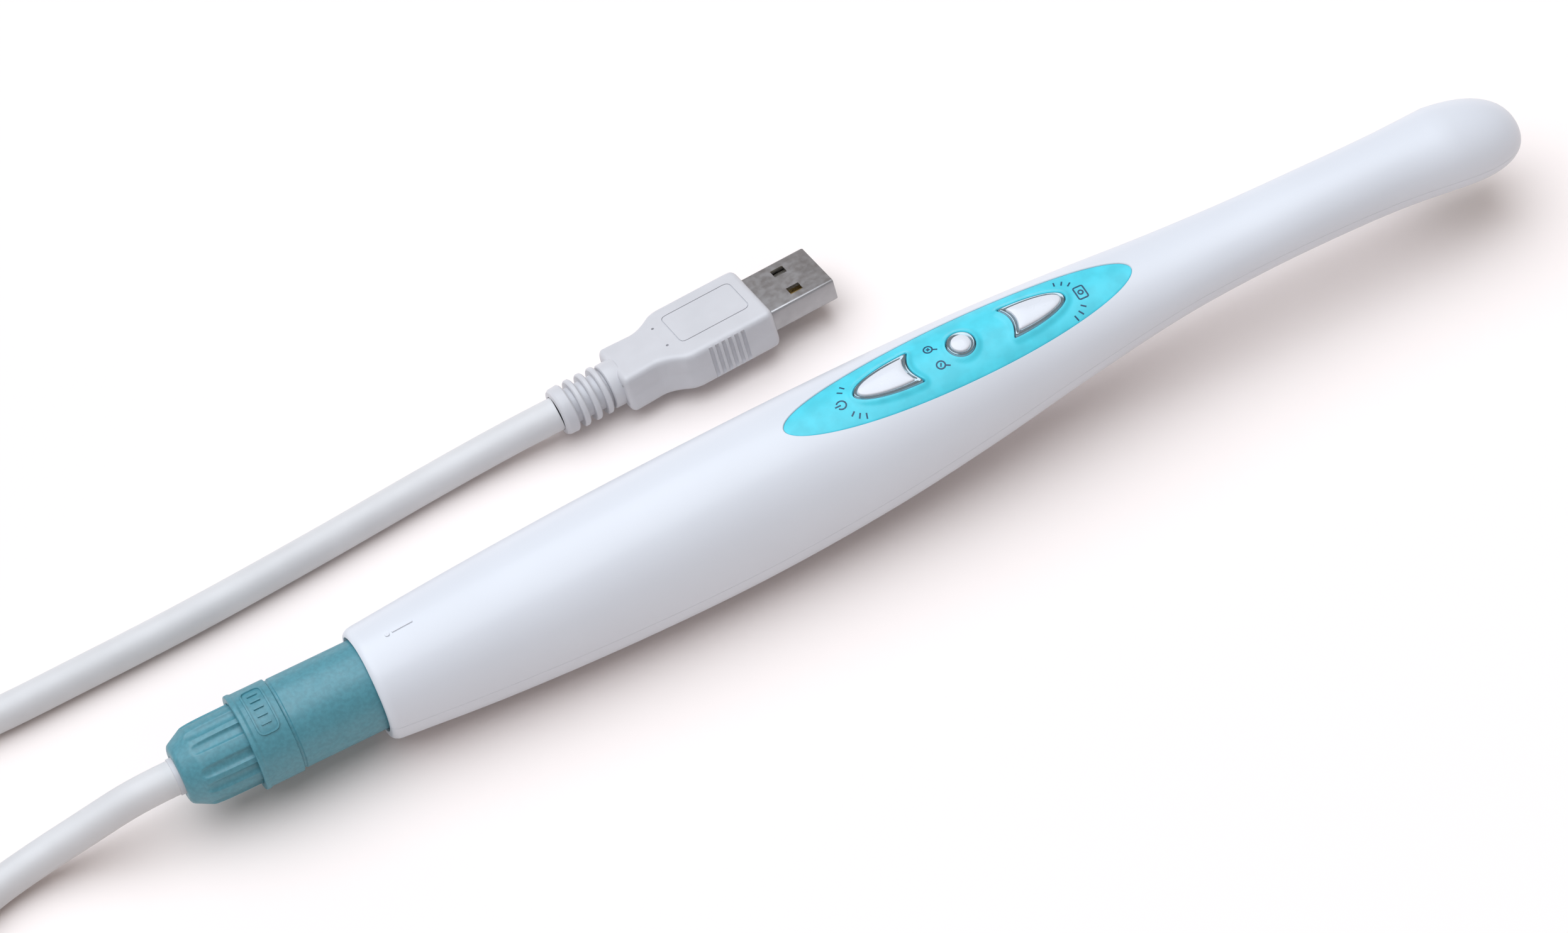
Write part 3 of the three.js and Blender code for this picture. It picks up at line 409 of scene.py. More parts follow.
TAIL_X = -95.5
TAIL_ROUND = 1.7  # how far the tail's edge rounds off, along X
TAIL_ROUND_IN = 1.0  # and inwards
NOSE_START_X = 116  # from here on the head closes as a dome
HALF_LENGTH = 131
NOSE_ROUNDNESS = 2.5
NOSE_DROOP = 0.2
WALL = 1.8
# Along X: top and bottom edge, half width, and the height where it is widest.
BODY_SECTIONS = np.array(
    [
        (TAIL_X, 21.3, 1.4, 10.4, 11.35),
        (-75, 23.0, -0.2, 12.1, 10.9),
        (-50, 24.8, -0.6, 13.45, 10.8),
        (-25, 26.25, -0.1, 13.8, 11.2),
        (0, 26.85, 2.2, 13.35, 13.3),
        (20, 27.15, 5.2, 12.1, 15.7),
        (40, 26.65, 8.8, 10.15, 18.1),
        (60, 25.6, 11.4, 8.15, 19.4),
        (75, 25.2, 12.1, 7.35, 19.45),
        (90, 25.1, 12.1, 7.15, 19.1),
        (105, 24.7, 11.6, 7.45, 18.3),
        (NOSE_START_X, 24.4, 10.5, 8.3, 17.4),
    ]
)


def section_at(x):
    """Top, bottom, half width and widest height at each x: a curve through the sections."""
    places, values = BODY_SECTIONS[:, 0], BODY_SECTIONS[:, 1:]
    chords = np.diff(values, axis=0) / np.diff(places)[:, None]
    slopes = np.vstack([chords[:1], (chords[1:] + chords[:-1]) / 2, chords[-1:]])
    x = np.clip(np.atleast_1d(np.asarray(x, float)), places[0], places[-1])
    i = np.clip(np.searchsorted(places, x) - 1, 0, len(places) - 2)
    gap = (places[i + 1] - places[i])[:, None]
    t = (x - places[i])[:, None] / gap
    start = (2 * t**3 - 3 * t**2 + 1) * values[i] + (t**3 - 2 * t**2 + t) * gap * slopes[i]
    end = (3 * t**2 - 2 * t**3) * values[i + 1] + (t**3 - t**2) * gap * slopes[i + 1]
    return (start + end).T


def body_at(x, offset=0):
    """Widest height, reach up and down, and half width at each x, pushed out by offset."""
    x = np.atleast_1d(np.asarray(x, float))
    top, bottom, half, widest = section_at(x)
    past = np.maximum(x - NOSE_START_X, 0)
    reach = HALF_LENGTH - NOSE_START_X + offset
    close = np.maximum(1 - (past / reach) ** NOSE_ROUNDNESS, 0) ** (1 / NOSE_ROUNDNESS)
    up, down = (top - widest + offset) * close, (widest - bottom + offset) * close
    return widest - NOSE_DROOP * past, up, down, (half + offset) * close


def top_at(x, y, offset=0):
    """Height of the upper surface over each point (x, y)."""
    widest, up, _, half = body_at(x, offset)
    return widest + up * np.sqrt(np.maximum(1 - (np.asarray(y, float) / half) ** 2, 0))


def body_normals(points):
    """The way out of the handpiece's surface at each point, from how fast its level grows."""

    def level(p):
        top, bottom, half, widest = section_at(p[:, 0])
        past = np.maximum(p[:, 0] - NOSE_START_X, 0)
        rise = p[:, 2] - (widest - NOSE_DROOP * past)
        tall = np.where(rise > 0, top - widest, widest - bottom)
        ring = np.sqrt((p[:, 1] / half) ** 2 + (rise / tall) ** 2)
        return ring**NOSE_ROUNDNESS + (past / (HALF_LENGTH - NOSE_START_X)) ** NOSE_ROUNDNESS

    step = 0.02
    moves = np.eye(3) * step
    grown = np.stack([level(points + move) - level(points - move) for move in moves], axis=1)
    return grown / np.maximum(np.linalg.norm(grown, axis=1, keepdims=True), 1e-9)


def make_form(name, offset, start_x, sides, step, tail_round=0):
    """The body's form pushed out by offset, with a rounded back edge if asked."""
    stations = []  # each is a place along X and how far the surface is moved out there
    for k in range(6 if tail_round else 0):
        lean = math.pi / 2 * (1 - k / 6)
        stations.append((start_x + tail_round * (1 - math.sin(lean)), -TAIL_ROUND_IN * (1 - math.cos(lean))))
    first = start_x + tail_round
    count = round((NOSE_START_X - first) / step)
    stations += [(first + (NOSE_START_X - first) * k / count, 0) for k in range(count + 1)]
    reach = HALF_LENGTH - NOSE_START_X + offset
    for k in range(1, 16):
        stations.append((NOSE_START_X + reach * math.sin(math.pi / 2 * k / 16), 0))
    rings = []
    for x, sunk in stations:
        widest, up, down, half = (float(v[0]) for v in body_at(x, offset + sunk))
        ring = []
        for k in range(sides):
            angle = 2 * math.pi * k / sides
            rise = math.sin(angle)
            ring.append((x, half * math.cos(angle), widest + (up if rise > 0 else down) * rise))
        rings.append(ring)
    vertices, faces = skin(rings)
    tip_x = NOSE_START_X + reach
    vertices[-1] = (tip_x, 0, float(body_at(tip_x)[0][0]))
    return link_mesh(name, vertices, faces)


def parting_block(side, gap):
    """All that lies above (side 1) or below (side -1) the shells' widest line."""
    rings = []
    for x in np.linspace(-140, 140, 141):
        edge = float(body_at(max(x, TAIL_X))[0][0]) + side * gap / 2
        far = edge + side * 40
        rings.append([(x, -30, edge), (x, 30, edge), (x, 30, far), (x, -30, far)])
    return link_mesh("parting", *skin(rings))


def lay_normals(piece, tolerance=0.03):
    """Faces that lie on the handpiece's outer form get its exact normals, so cuts don't show beside them."""
    mesh = piece.data
    count = len(mesh.vertices)
    points = np.empty(count * 3)
    mesh.vertices.foreach_get("co", points)
    points = points.reshape(-1, 3) / MM
    exact = body_normals(points)
    widest, up, down, half = body_at(points[:, 0])
    rise = points[:, 2] - widest
    tall = np.where(rise > 0, up, down).clip(1e-6)
    ring = np.sqrt((points[:, 1] / np.maximum(half, 1e-6)) ** 2 + (rise / tall) ** 2)
    outside = (np.abs(ring - 1) * half < tolerance) | (points[:, 0] > HALF_LENGTH - 0.05)
    outside &= points[:, 0] > TAIL_X + TAIL_ROUND - 0.01
    normals = [corner.vector.copy() for corner in mesh.corner_normals]
    for face in mesh.polygons:
        if not all(outside[v] for v in face.vertices):
            continue
        if face.normal.dot(Vector(exact[face.vertices[0]])) > 0.9:
            for corner in face.loop_indices:
                normals[corner] = Vector(exact[mesh.loops[corner].vertex_index])
    mesh.normals_split_custom_set(normals)


# ---------------------------------------------------------------- outlines of the panel and the buttons

PANEL_X, PANEL_HALF_LENGTH, PANEL_HALF = 19.5, 33.75, 6.65
FILM_SINK = 0.14
FILM_THICKNESS = 0.5
BUTTON_RISE = 0.7
BUTTONS = {
    "on_off": {"tip": -0.8, "corner": 11, "hollow": 9.7, "half": 3.3, "stem": 6},
    "zoom": {"x": 19.9, "radius": 2.45, "stem": 19.9},
    "capture": {"tip": 40.1, "corner": 28.8, "hollow": 29.9, "half": 3.25, "stem": 33.2},
}


def circle(x, radius, count=96):
    angles = around(count)
    return np.stack([x + radius * np.cos(angles), radius * np.sin(angles)], axis=1)


def bezier(points, count=60):
    """Points along a Bezier curve, without its last one."""
    t = np.linspace(0, 1, count, endpoint=False)[:, None]
    degree = len(points) - 1
    return sum(
        math.comb(degree, k) * t**k * (1 - t) ** (degree - k) * np.array(p, float)
        for k, p in enumerate(points)
    )


def even(points, count):
    """The same closed outline with evenly spaced points."""
    closed = np.vstack([points, points[:1]])
    along = np.concatenate([[0], np.cumsum(np.linalg.norm(np.diff(closed, axis=0), axis=1))])
    places = np.linspace(0, along[-1], count, endpoint=False)
    return np.stack([np.interp(places, along, closed[:, k]) for k in range(2)], axis=1)


CORNER_SOFTNESS = 0.3


def button_outline(name, grow=0, count=120):
    """A disc, or a bullet with a hollow back edge and soft corners, its edge moved out by grow."""
    button = BUTTONS[name]
    if "radius" in button:
        return circle(button["x"], button["radius"] + grow, count)
    forward = 1 if button["corner"] > button["tip"] else -1  # which way the back edge lies
    half = button["half"] + grow
    tip, hollow = button["tip"] - forward * grow, button["hollow"] + forward * grow
    corner = hollow + (button["corner"] - button["hollow"]) * (half / button["half"]) ** 2
    shoulder = (tip + corner) / 2
    points = np.vstack(
        [
            bezier([(corner, -half), (2 * hollow - corner, 0), (corner, half)]),
            bezier([(corner, half), (shoulder, half), (tip, 0.6 * half), (tip, 0)]),
            bezier([(tip, 0), (tip, -0.6 * half), (shoulder, -half), (corner, -half)]),
        ]
    )
    fine = even(points, 600)
    spacing = np.linalg.norm(fine[1] - fine[0])
    offsets = np.arange(-30, 31)
    weights = np.exp(-0.5 * (offsets * spacing / CORNER_SOFTNESS) ** 2)
    smooth = sum(w * np.roll(fine, k, axis=0) for k, w in zip(offsets, weights / weights.sum()))
    return even(smooth, count)


def laid(outline, offset):
    """An outline laid on the body's upper surface, pushed out by offset."""
    return np.column_stack([outline, top_at(outline[:, 0], outline[:, 1], offset)])


def shrunk(outline, share):
    """An outline drawn in towards its middle."""
    middle = outline.mean(axis=0)
    return middle + (outline - middle) * share


def level(outline, z):
    """An outline at one height."""
    return np.column_stack([outline, np.full(len(outline), z)])


OUTLINES = {name: button_outline(name) for name in BUTTONS}
ALL_LOW, ALL_HIGH = 15, 40  # cutters for the top face reach between these heights

# ---------------------------------------------------------------- shells

TAIL_BORE_RADIUS = 8.55
SCREWS = [(-50, 6.3), (-50, -6.3), (-4, 5.6), (-4, -5.6)]
HEAD_X = 120  # centre of the lens window
WINDOW = (8.5, 6)  # its half length and half width


def oval(inset):
    """The window's outline, its edge moved in by inset."""
    angles = around(96)
    along = HEAD_X + (WINDOW[0] - inset) * np.cos(angles)
    return np.stack([along, (WINDOW[1] - inset) * np.sin(angles)], axis=1)


def panel_oval(grow):
    """The panel's outline, its edge moved out by grow."""
    angles = around(160)
    across = (PANEL_HALF + grow) * np.sin(angles)
    return np.stack([PANEL_X + (PANEL_HALF_LENGTH + grow) * np.cos(angles), across], axis=1)


def make_shell(name, side, node):
    """The upper half of the body (side 1) or its lower half (side -1), hollow, with its openings."""
    shell = make_form(name, 0, TAIL_X, 128, 2.5, TAIL_ROUND)
    carve(shell, parting_block(side, 0.04), "INTERSECT")
    carve(shell, make_form("hollow", -WALL, TAIL_X + 4, 64, 8))
    mouth = [(TAIL_X - 1, 9), (TAIL_X + 0.1, 8.8), (TAIL_X + 0.6, TAIL_BORE_RADIUS), (-72, TAIL_BORE_RADIUS)]
    rings = [[(x, r * math.cos(a), AXIS_Z + r * math.sin(a)) for a in around(96)] for x, r in mouth]
    carve(shell, link_mesh("bore", *skin(rings)))
    if side > 0:
        floor = -FILM_SINK - FILM_THICKNESS - 0.1
        steps = [laid(shrunk(panel_oval(0.04), s), floor) for s in (0.2, 0.4, 0.6, 0.8, 0.95, 1)]
        steps += [laid(panel_oval(0.04), -0.16), laid(panel_oval(0.2), 0.01)]
        steps.append(level(panel_oval(0.2), ALL_HIGH))
        carve(shell, link_mesh("recess", *skin(steps)))
        for button in BUTTONS:
            hole = button_outline(button, 0.3)
            carve(shell, link_mesh("hole", *skin([level(hole, ALL_LOW), level(hole, ALL_HIGH)])))
    else:
        carve(shell, link_mesh("pocket", *skin([level(oval(-0.15), 0), level(oval(-0.15), 12.9)])))
        carve(shell, link_mesh("neck", *skin([level(oval(1.1), 0), level(oval(1.1), 15)])))
        box = [(-140, -40), (140, -40), (140, 40), (-140, 40)]
        carve(shell, link_mesh("table", *skin([[(*p, -20) for p in box], [(*p, 0) for p in box]])))
        for x, y in SCREWS:
            boss = rounded([(0.9, 3.2), (2.1, 3.2), (2.1, 13.3), (0.9, 13.3)], 0.15, 2)
            rings = [level(circle(x, r, 24) + np.array((0, y)), z) for r, z in boss]
            carve(shell, link_mesh("boss", *skin(rings, "loop")), "UNION")
    finish_piece(shell, "shell_plastic", stands_for=(node,), sharp=30)
    lay_normals(shell)


def film_lift(x, y):
    """The film swells into a lip round each button."""
    lift = 0
    for outline in OUTLINES.values():
        gap = np.sqrt(((outline - (x, y)) ** 2).sum(axis=1)).min()
        lift = max(lift, 0.4 * math.exp(-((max(0, gap - 0.45) / 0.5) ** 2)))
    return lift


def make_film():
    """The eye-shaped film: a rounded edge, lips round the buttons, and three openings."""
    rings = []
    for k in range(1, 340):
        along = -math.cos(math.pi * k / 340)
        x = PANEL_X + PANEL_HALF_LENGTH * along
        half = PANEL_HALF * math.sqrt(1 - along * along)
        edge = min(0.25, half * 0.4)
        across = [half * math.sin(math.pi / 2 * s) for s in np.linspace(-1, 1, 57)]
        ring = []
        for y in across:
            into = max(0, (abs(y) - (half - edge)) / edge)
            sunk = -FILM_SINK - 0.12 * (1 - math.sqrt(max(0, 1 - into * into))) + film_lift(x, y)
            ring.append((x, y, float(top_at(x, y, sunk)[0])))
        for y in across[::-4]:
            ring.append((x, y, float(top_at(x, y, -FILM_SINK - FILM_THICKNESS)[0])))
        rings.append(ring)
    film = link_mesh("control_film", *skin(rings))
    for button in BUTTONS:
        inner, outer = button_outline(button, 0.2), button_outline(button, 0.34)
        steps = [level(inner, ALL_LOW), laid(inner, 0.08), laid(outer, 0.3), level(outer, ALL_HIGH)]
        carve(film, link_mesh("hole", *skin(steps)))
    finish_piece(film, "panel_film", stands_for=("control_panel",), sharp=30)


def make_button(name):
    """A cap with a glossy sloping rim, a white top, a flange that keeps it in, and a stem to its switch; the
    rim's dark grey-teal colour is painted shade.
    """
    flange = [(0.9, -3.2), (0.9, -2.4), (0, -2.4)]
    rim = [(0, 0.22), (-0.05, 0.36), (-0.16, 0.42), (-0.28, 0.38)]
    rim += [(-0.45, 0.24), (-0.62, 0.12), (-0.7, 0.12)]
    white = [(-0.74, 0.42), (-0.8, 0.5), (-0.9, 0.55), (-1.1, 0.6)]
    outline = button_outline(name, 0.9)
    rings = [laid(shrunk(outline, share), -3.2) for share in (0.3, 0.7)]
    rings += [laid(button_outline(name, grow), offset) for grow, offset in flange + rim + white]
    for share, offset in ((0.8, 0.65), (0.55, 0.69), (0.25, BUTTON_RISE)):
        rings.append(laid(shrunk(button_outline(name, -1.1), share), offset))
    cap = link_mesh(f"{name}_cap", *skin(rings))
    # The second material is the rim's, whose dark grey-teal colour is painted shade.
    for look in ("button_plastic", "button_rim_painted_shade"):
        cap.data.materials.append(MATERIALS[look])
    count = len(outline)
    first = (2 + len(flange)) * count
    for face in range(first, first + (len(rim) - 1) * count):
        cap.data.polygons[face].material_index = 1
    x = BUTTONS[name]["stem"]
    ring = circle(x, 1.3, 32)
    stem = [level(ring, 19.9), level(ring, float(top_at(x, 0, -2.8)[0]))]
    carve(cap, link_mesh("stem", *skin(stem)), "UNION")
    finish_piece(cap, "button_plastic", f"{name}_push", (f"{name}_button",), 35)


make_shell("upper_housing", 1, "upper_shell")
make_shell("lower_housing", -1, "lower_shell")
make_film()
for button_name in BUTTONS:
    make_button(button_name)

# ---------------------------------------------------------------- printed and moulded marks


def stroke(points, width, closed=False):
    """The left and right edges of a line drawn with that width."""
    points = np.array(points, float)
    ahead = np.roll(points, -1, axis=0) - np.roll(points, 1, axis=0)
    if not closed:
        ahead[0], ahead[-1] = points[1] - points[0], points[-1] - points[-2]
    across = np.stack([-ahead[:, 1], ahead[:, 0]], axis=1)
    across *= width / 2 / np.linalg.norm(across, axis=1, keepdims=True)
    return points + across, points - across


def raised_strokes(name, strokes, width, place, low, high, turn=None):
    """Lines laid on a surface; place(a, b, height) gives the point over (a, b)."""
    vertices, faces = [], []
    for points, closed in strokes:
        rings = []
        for left, right in zip(*stroke(points, width, closed)):
            slope = (right - left) * 0.15
            top_left, top_right = left + slope, right - slope
            ring = [place(*left, low), place(*right, low), place(*top_right, high), place(*top_left, high)]
            rings.append(ring)
        more, their_faces = skin(rings, "loop" if closed else "fan")
        faces += [tuple(i + len(vertices) for i in face) for face in their_faces]
        vertices += more
    return link_mesh(name, vertices, faces, turn)


def arc(x, y, radius, start, end, steps=24):
    angles = np.radians(np.linspace(start, end, steps))
    return [(x + radius * math.cos(a), y + radius * math.sin(a)) for a in angles]


def box_corners(x, y, half_x, half_y):
    return [(x + a * half_x, y + b * half_y) for a, b in ((-1, -1), (1, -1), (1, 1), (-1, 1))]


def box_outline(x, y, half_x, half_y, corner):
    return rounded(box_corners(x, y, half_x, half_y), corner, 4)


def on_film(a, b, height):
    return (a, b, float(top_at(a, b, height - FILM_SINK + film_lift(a, b))[0]))


def placed(strokes, x, y, turn):
    """Strokes drawn about the origin, turned by degrees and moved to (x, y)."""
    c, s = math.cos(math.radians(turn)), math.sin(math.radians(turn))
    moved = []
    for points, closed in strokes:
        moved.append(([(x + a * c - b * s, y + a * s + b * c) for a, b in points], closed))
    return moved


POWER = [(arc(0, 0, 0.85, 125, 415), False), ([(0, 0.1), (0, 0.6), (0, 1.2)], False)]
LOUPE = [(arc(0, 0.35, 0.75, 0, 350), True), ([(0, -0.4), (0, -0.85), (0, -1.3)], False)]
MINUS = [([(-0.36, 0.35), (0, 0.35), (0.36, 0.35)], False)]
PLUS = MINUS + [([(0, 0), (0, 0.35), (0, 0.7)], False)]
LENS = [(even(np.array(box_outline(0, 0, 1.3, 0.9, 0.3)), 40), True), (arc(0, 0, 0.42, 0, 345, 16), True)]
TICK = [([(-0.5, 0), (0, 0), (0.5, 0)], False)]


def tick_arc(x, y, radius, angles):
    """Short ticks that point away from (x, y)."""
    ticks = []
    for angle in angles:
        a = math.radians(angle)
        ticks += placed(TICK, x + radius * math.cos(a), y + radius * math.sin(a), angle)
    return ticks


def make_marks():
    """Plain signs where the film's labels are: power, magnifiers and a camera, with ticks round the tips."""
    power = placed(POWER, -3.5, -0.4, 90) + tick_arc(0.6, -0.4, 4.0, (125, 142, 218, 235, 252))
    zoom = placed(LOUPE + PLUS, 14.9, 1.9, 60) + placed(LOUPE + MINUS, 15.3, -2.1, 60)
    shot = placed(LENS, 43.1, -0.5, 90) + tick_arc(38.9, -0.5, 4.2, (74, 56, 38, -38, -56, -74))
    for name, strokes in (("power_mark", power), ("magnifier_mark", zoom), ("camera_mark", shot)):
        mark = raised_strokes(name, strokes, 0.37, on_film, -0.15, 0.045)
        finish_piece(mark, "panel_film", look="mark_ink")


def on_body(a, b, height):
    return (a, b, float(top_at(a, b, height)[0]))


def make_tail_mark():
    """A small moulded bar with a dot behind it, on top of the tail."""
    bar = [(x, 0.8) for x in np.linspace(-88.8, -85, 12)]
    strokes = [(bar, False), (arc(-89.7, 0.75, 0.22, 0, 330, 12), True)]
    mark = raised_strokes("tail_mark", strokes, 0.55, on_body, -0.2, 0.2)
    finish_piece(mark, "shell_plastic")


make_marks()
make_tail_mark()

# ---------------------------------------------------------------- the cable connector

SLEEVE_BACK = -118.3
COLLAR_RADIUS = 8.5


def on_collar(a, b, height):
    """a runs along X, b round the collar from its top towards -Y."""
    radius = COLLAR_RADIUS + height
    angle = b / COLLAR_RADIUS
    return (a, -radius * math.sin(angle), AXIS_Z + radius * math.cos(angle))


def make_sleeve():
    """The release sleeve: a thick flanged collar behind, a groove, and a thinner tube."""
    outline = rounded(
        [
            (SLEEVE_BACK, 7.38),
            (SLEEVE_BACK, 8.68),
            (-117.5, 8.68),
            (-117.1, COLLAR_RADIUS),
            (-111.15, COLLAR_RADIUS),
            (-111, 8.02),
            (-110.6, 8.02),
            (-110.4, 8.2),
            (-89, 8.2),
            (-89, 7),
            (-114.3, 7),
            (-114.3, 7.38),
        ],
        [0.15, 0.3, 0.3, 0.3, 0.15, 0.1, 0.1, 0.15, 0.3, 0.1, 0.1, 0.1],
    )
    sleeve = lathed("sleeve", outline, 160)
    finish_piece(sleeve, "connector_plastic", "sleeve", ("release_sleeve",), 50)
    strokes = [(even(np.array(box_outline(-114.3, 0.4, 1.85, 4.7, 1.2)), 90), True)]
    for k in range(5):
        across = 0.4 + 1.5 * (k - 2)
        strokes.append(([(x, across) for x in (-115.2, -114.3, -113.4)], False))
    raised_frame = raised_strokes("sleeve_frame", strokes, 0.42, on_collar, -0.2, 0.24)
    finish_piece(raised_frame, "connector_plastic", "sleeve")


FLUTE_PAIRS = 6
FLUTE_SPREAD = 0.215  # radians from a pair's middle
FLUTE_HALF = 0.14
FLUTE_DEPTH = 0.55
FLUTE_END_X = -128
NUT_RADIUS = 7.3
NUT_FRONT = -118.6
NUT_LIP = -118  # a thin lip runs on into the sleeve's wide bore


def fluted(x, radius, angle):
    """The nut's radius with its pairs of round flutes."""
    if radius < 6.4 or x < FLUTE_END_X:  # the bore and the dome stay round
        return radius
    turn = 2 * math.pi / FLUTE_PAIRS
    gap = abs(abs(angle % turn - turn / 2) - FLUTE_SPREAD) / FLUTE_HALF
    return min(radius, NUT_RADIUS - FLUTE_DEPTH * math.sqrt(max(0, 1 - gap * gap)))


def make_nut():
    """The domed clamp nut, and the grommet in its end with a lip round the cable."""
    outline = [(-130.3, 3.38), (-130.5, 3.42), (-130.6, 3.6), (-130.6, 4.5), (-130.5, 4.9), (-130.3, 5.25)]
    outline += [(-130 + 0.28 * k, 5.5 + 0.147 * k) for k in range(11)]
    outline += [(-126.9, 7.06), (-126.5, 7.12), (-125.6, 7.2), (-124, 7.26), (-121, 7.29)]
    outline += [(-118.5, NUT_RADIUS), (NUT_LIP, NUT_RADIUS), (NUT_LIP, 6.65), (NUT_FRONT, 6.65)]
    outline += [(NUT_FRONT, 6.3), (-128, 6.3), (-128, 4.35), (-130, 4.35), (-130, 3.38)]
    nut = lathed("nut", outline, 288, fluted)
    finish_piece(nut, "connector_plastic", stands_for=("clamp_nut",), sharp=50)
    lip = [(-131.45, 3.12), (-131.45, 3.3), (-129.9, 3.3), (-129.9, 4.1), (-128.3, 4.1), (-128.3, 3.12)]
    grommet = lathed("grommet", rounded(lip, 0.08, 2))
    finish_piece(grommet, "plug_mould", stands_for=("cable_grommet",), sharp=50)


make_sleeve()
make_nut()

# ---------------------------------------------------------------- the window in the head


def make_window():
    """The bezel in the head's underside, and its glass with a softened edge."""
    steps = [(0, 12.6), (0, 12.1), (0.15, 11.8), (1.2, 10.2), (1.4, 9.96), (1.55, 9.9)]
    steps += [(1.65, 9.93), (1.7, 10.05), (1.7, 11.9), (2.5, 11.9), (2.5, 14), (1.5, 14), (1.5, 12.6)]
    bezel = link_mesh("bezel", *skin([level(oval(inset), z) for inset, z in steps], "loop"))
    finish_piece(bezel, "shell_plastic", stands_for=("window_bezel",), sharp=40)
    steps = [(1.95, 11.1), (1.9, 11.05), (1.9, 10.25), (2, 10.12), (3, 10.04), (5, 10)]
    rings = [level(shrunk(oval(1.9), 0.3), 11.1)] + [level(oval(inset), z) for inset, z in steps]
    glass = link_mesh("window_pane", *skin(rings))
    finish_piece(glass, "lens_glass", stands_for=("window_glass",), sharp=40)


make_window()

# ---------------------------------------------------------------- the USB plug
# In its own frame the tip is at x = 0 and the cable leaves towards -X.

USB_TIP = (12.4, 41.1, 6)
USB_ROLL, USB_PITCH, USB_YAW = -14.7, -0.5, 2.94  # degrees
USB_TURN = Matrix.Translation(USB_TIP) @ (
    Matrix.Rotation(math.radians(USB_YAW), 4, "Z")
    @ Matrix.Rotation(math.radians(USB_PITCH), 4, "Y")
    @ Matrix.Rotation(math.radians(USB_ROLL), 4, "X")
)


def rounded_box_ring(x, half_y, half_z, corner):
    return [(x, y, z) for y, z in rounded(box_corners(0, 0, half_y, half_z), corner, 6)]


def make_usb_shell():
    """A folded steel sleeve, open at the tip, with two square windows above and below."""
    back = -12.6
    steps = [(back, 6, 2.25, 0.55), (-0.25, 6, 2.25, 0.55), (0, 5.93, 2.18, 0.5), (0, 5.75, 2.0, 0.34)]
    steps += [(-0.25, 5.7, 1.95, 0.3), (back, 5.7, 1.95, 0.3)]
    shell = link_mesh("plug_shell", *skin([rounded_box_ring(*s) for s in steps], "loop"), USB_TURN)
    for y in (-3.05, 3.05):
        ring = np.array(box_outline(-6.35, y, 1.25, 1, 0.12))
        carve(shell, link_mesh("window", *skin([level(ring, -4), level(ring, 4)]), USB_TURN))
    seam = np.array(box_corners(-6, 0, 7, 0.05))
    carve(shell, link_mesh("seam", *skin([level(seam, -3), level(seam, -1)]), USB_TURN))
    finish_piece(shell, "plug_steel", stands_for=("usb_shell",), sharp=40)
    return shell


MOULD_FRONT, MOULD_BACK = -12.9, -42.2
MOULD_HALF_HEIGHT = 4
MOULD_EDGE = 1.1  # how far its end edges round off
# Half widths along X, from the cable end to the front.
MOULD_WIDTHS = [(-42.2, 5.6), (-37, 5.35), (-35.5, 5.25), (-34, 5.6), (-32.3, 6.5)]
MOULD_WIDTHS += [(-30.8, 7.6), (-29.3, 8), (-15, 8), (-12.9, 7.8)]
GROOVE_FIRST, GROOVE_SPACING, GROOVE_COUNT = -19.4, 1.3, 6
GROOVE_HALF, GROOVE_DEPTH = 0.4, 0.5
GROOVE_REACH = 3.4  # the grooves end this far above and below the middle


def mould_half_width(x):
    """A smooth curve through the grip's half widths."""
    places, values = np.array(MOULD_WIDTHS).T
    fine = np.linspace(places[0], places[-1], 400)
    raw = np.interp(fine, places, values)
    kernel = np.exp(-0.5 * (np.arange(-30, 31) / 5) ** 2)
    padded = np.pad(raw, 30, mode="edge")
    return float(np.interp(x, fine, np.convolve(padded, kernel / kernel.sum(), "valid")))


def side_cut(x, z, plain):
    """How deep the side is cut at (x, z): six grooves, and a fine parting line where the ring is plain."""
    groove = 0
    for i in range(GROOVE_COUNT):
        gap = abs(x - (GROOVE_FIRST - GROOVE_SPACING * i)) / GROOVE_HALF
        groove = max(groove, GROOVE_DEPTH * math.sqrt(max(0, 1 - gap * gap)))
    fade = min(1, (GROOVE_REACH - abs(z)) / 0.5)
    return groove * fade + 0.07 * max(0, 1 - abs(z) / 0.2) * plain


def grip_ring(x, sunk):
    """The grip's section at x, its edge moved in by sunk, with more points down its sides for the grooves."""
    half = mould_half_width(x) - sunk
    corner = max(1.3 - sunk * 0.3, 0.5)
    outline = rounded_box_ring(x, half, MOULD_HALF_HEIGHT - sunk, corner)
    heights = [-2.5 + 5 * k / 16 for k in range(1, 16)]
    ring = []
    for here, there in zip(outline, outline[1:] + outline[:1]):
        ring.append(here)
        if abs(here[1] - there[1]) < 0.01 and abs(here[2] - there[2]) > 2:
            ring += [(x, here[1], z) for z in (heights if there[2] > here[2] else heights[::-1])]
    cut = []
    for _, y, z in ring:
        if abs(y) > half - 1.3 and abs(z) < GROOVE_REACH:
            y -= math.copysign(side_cut(x, z, sunk == 0), y)
        cut.append((x, y, z))
    return cut


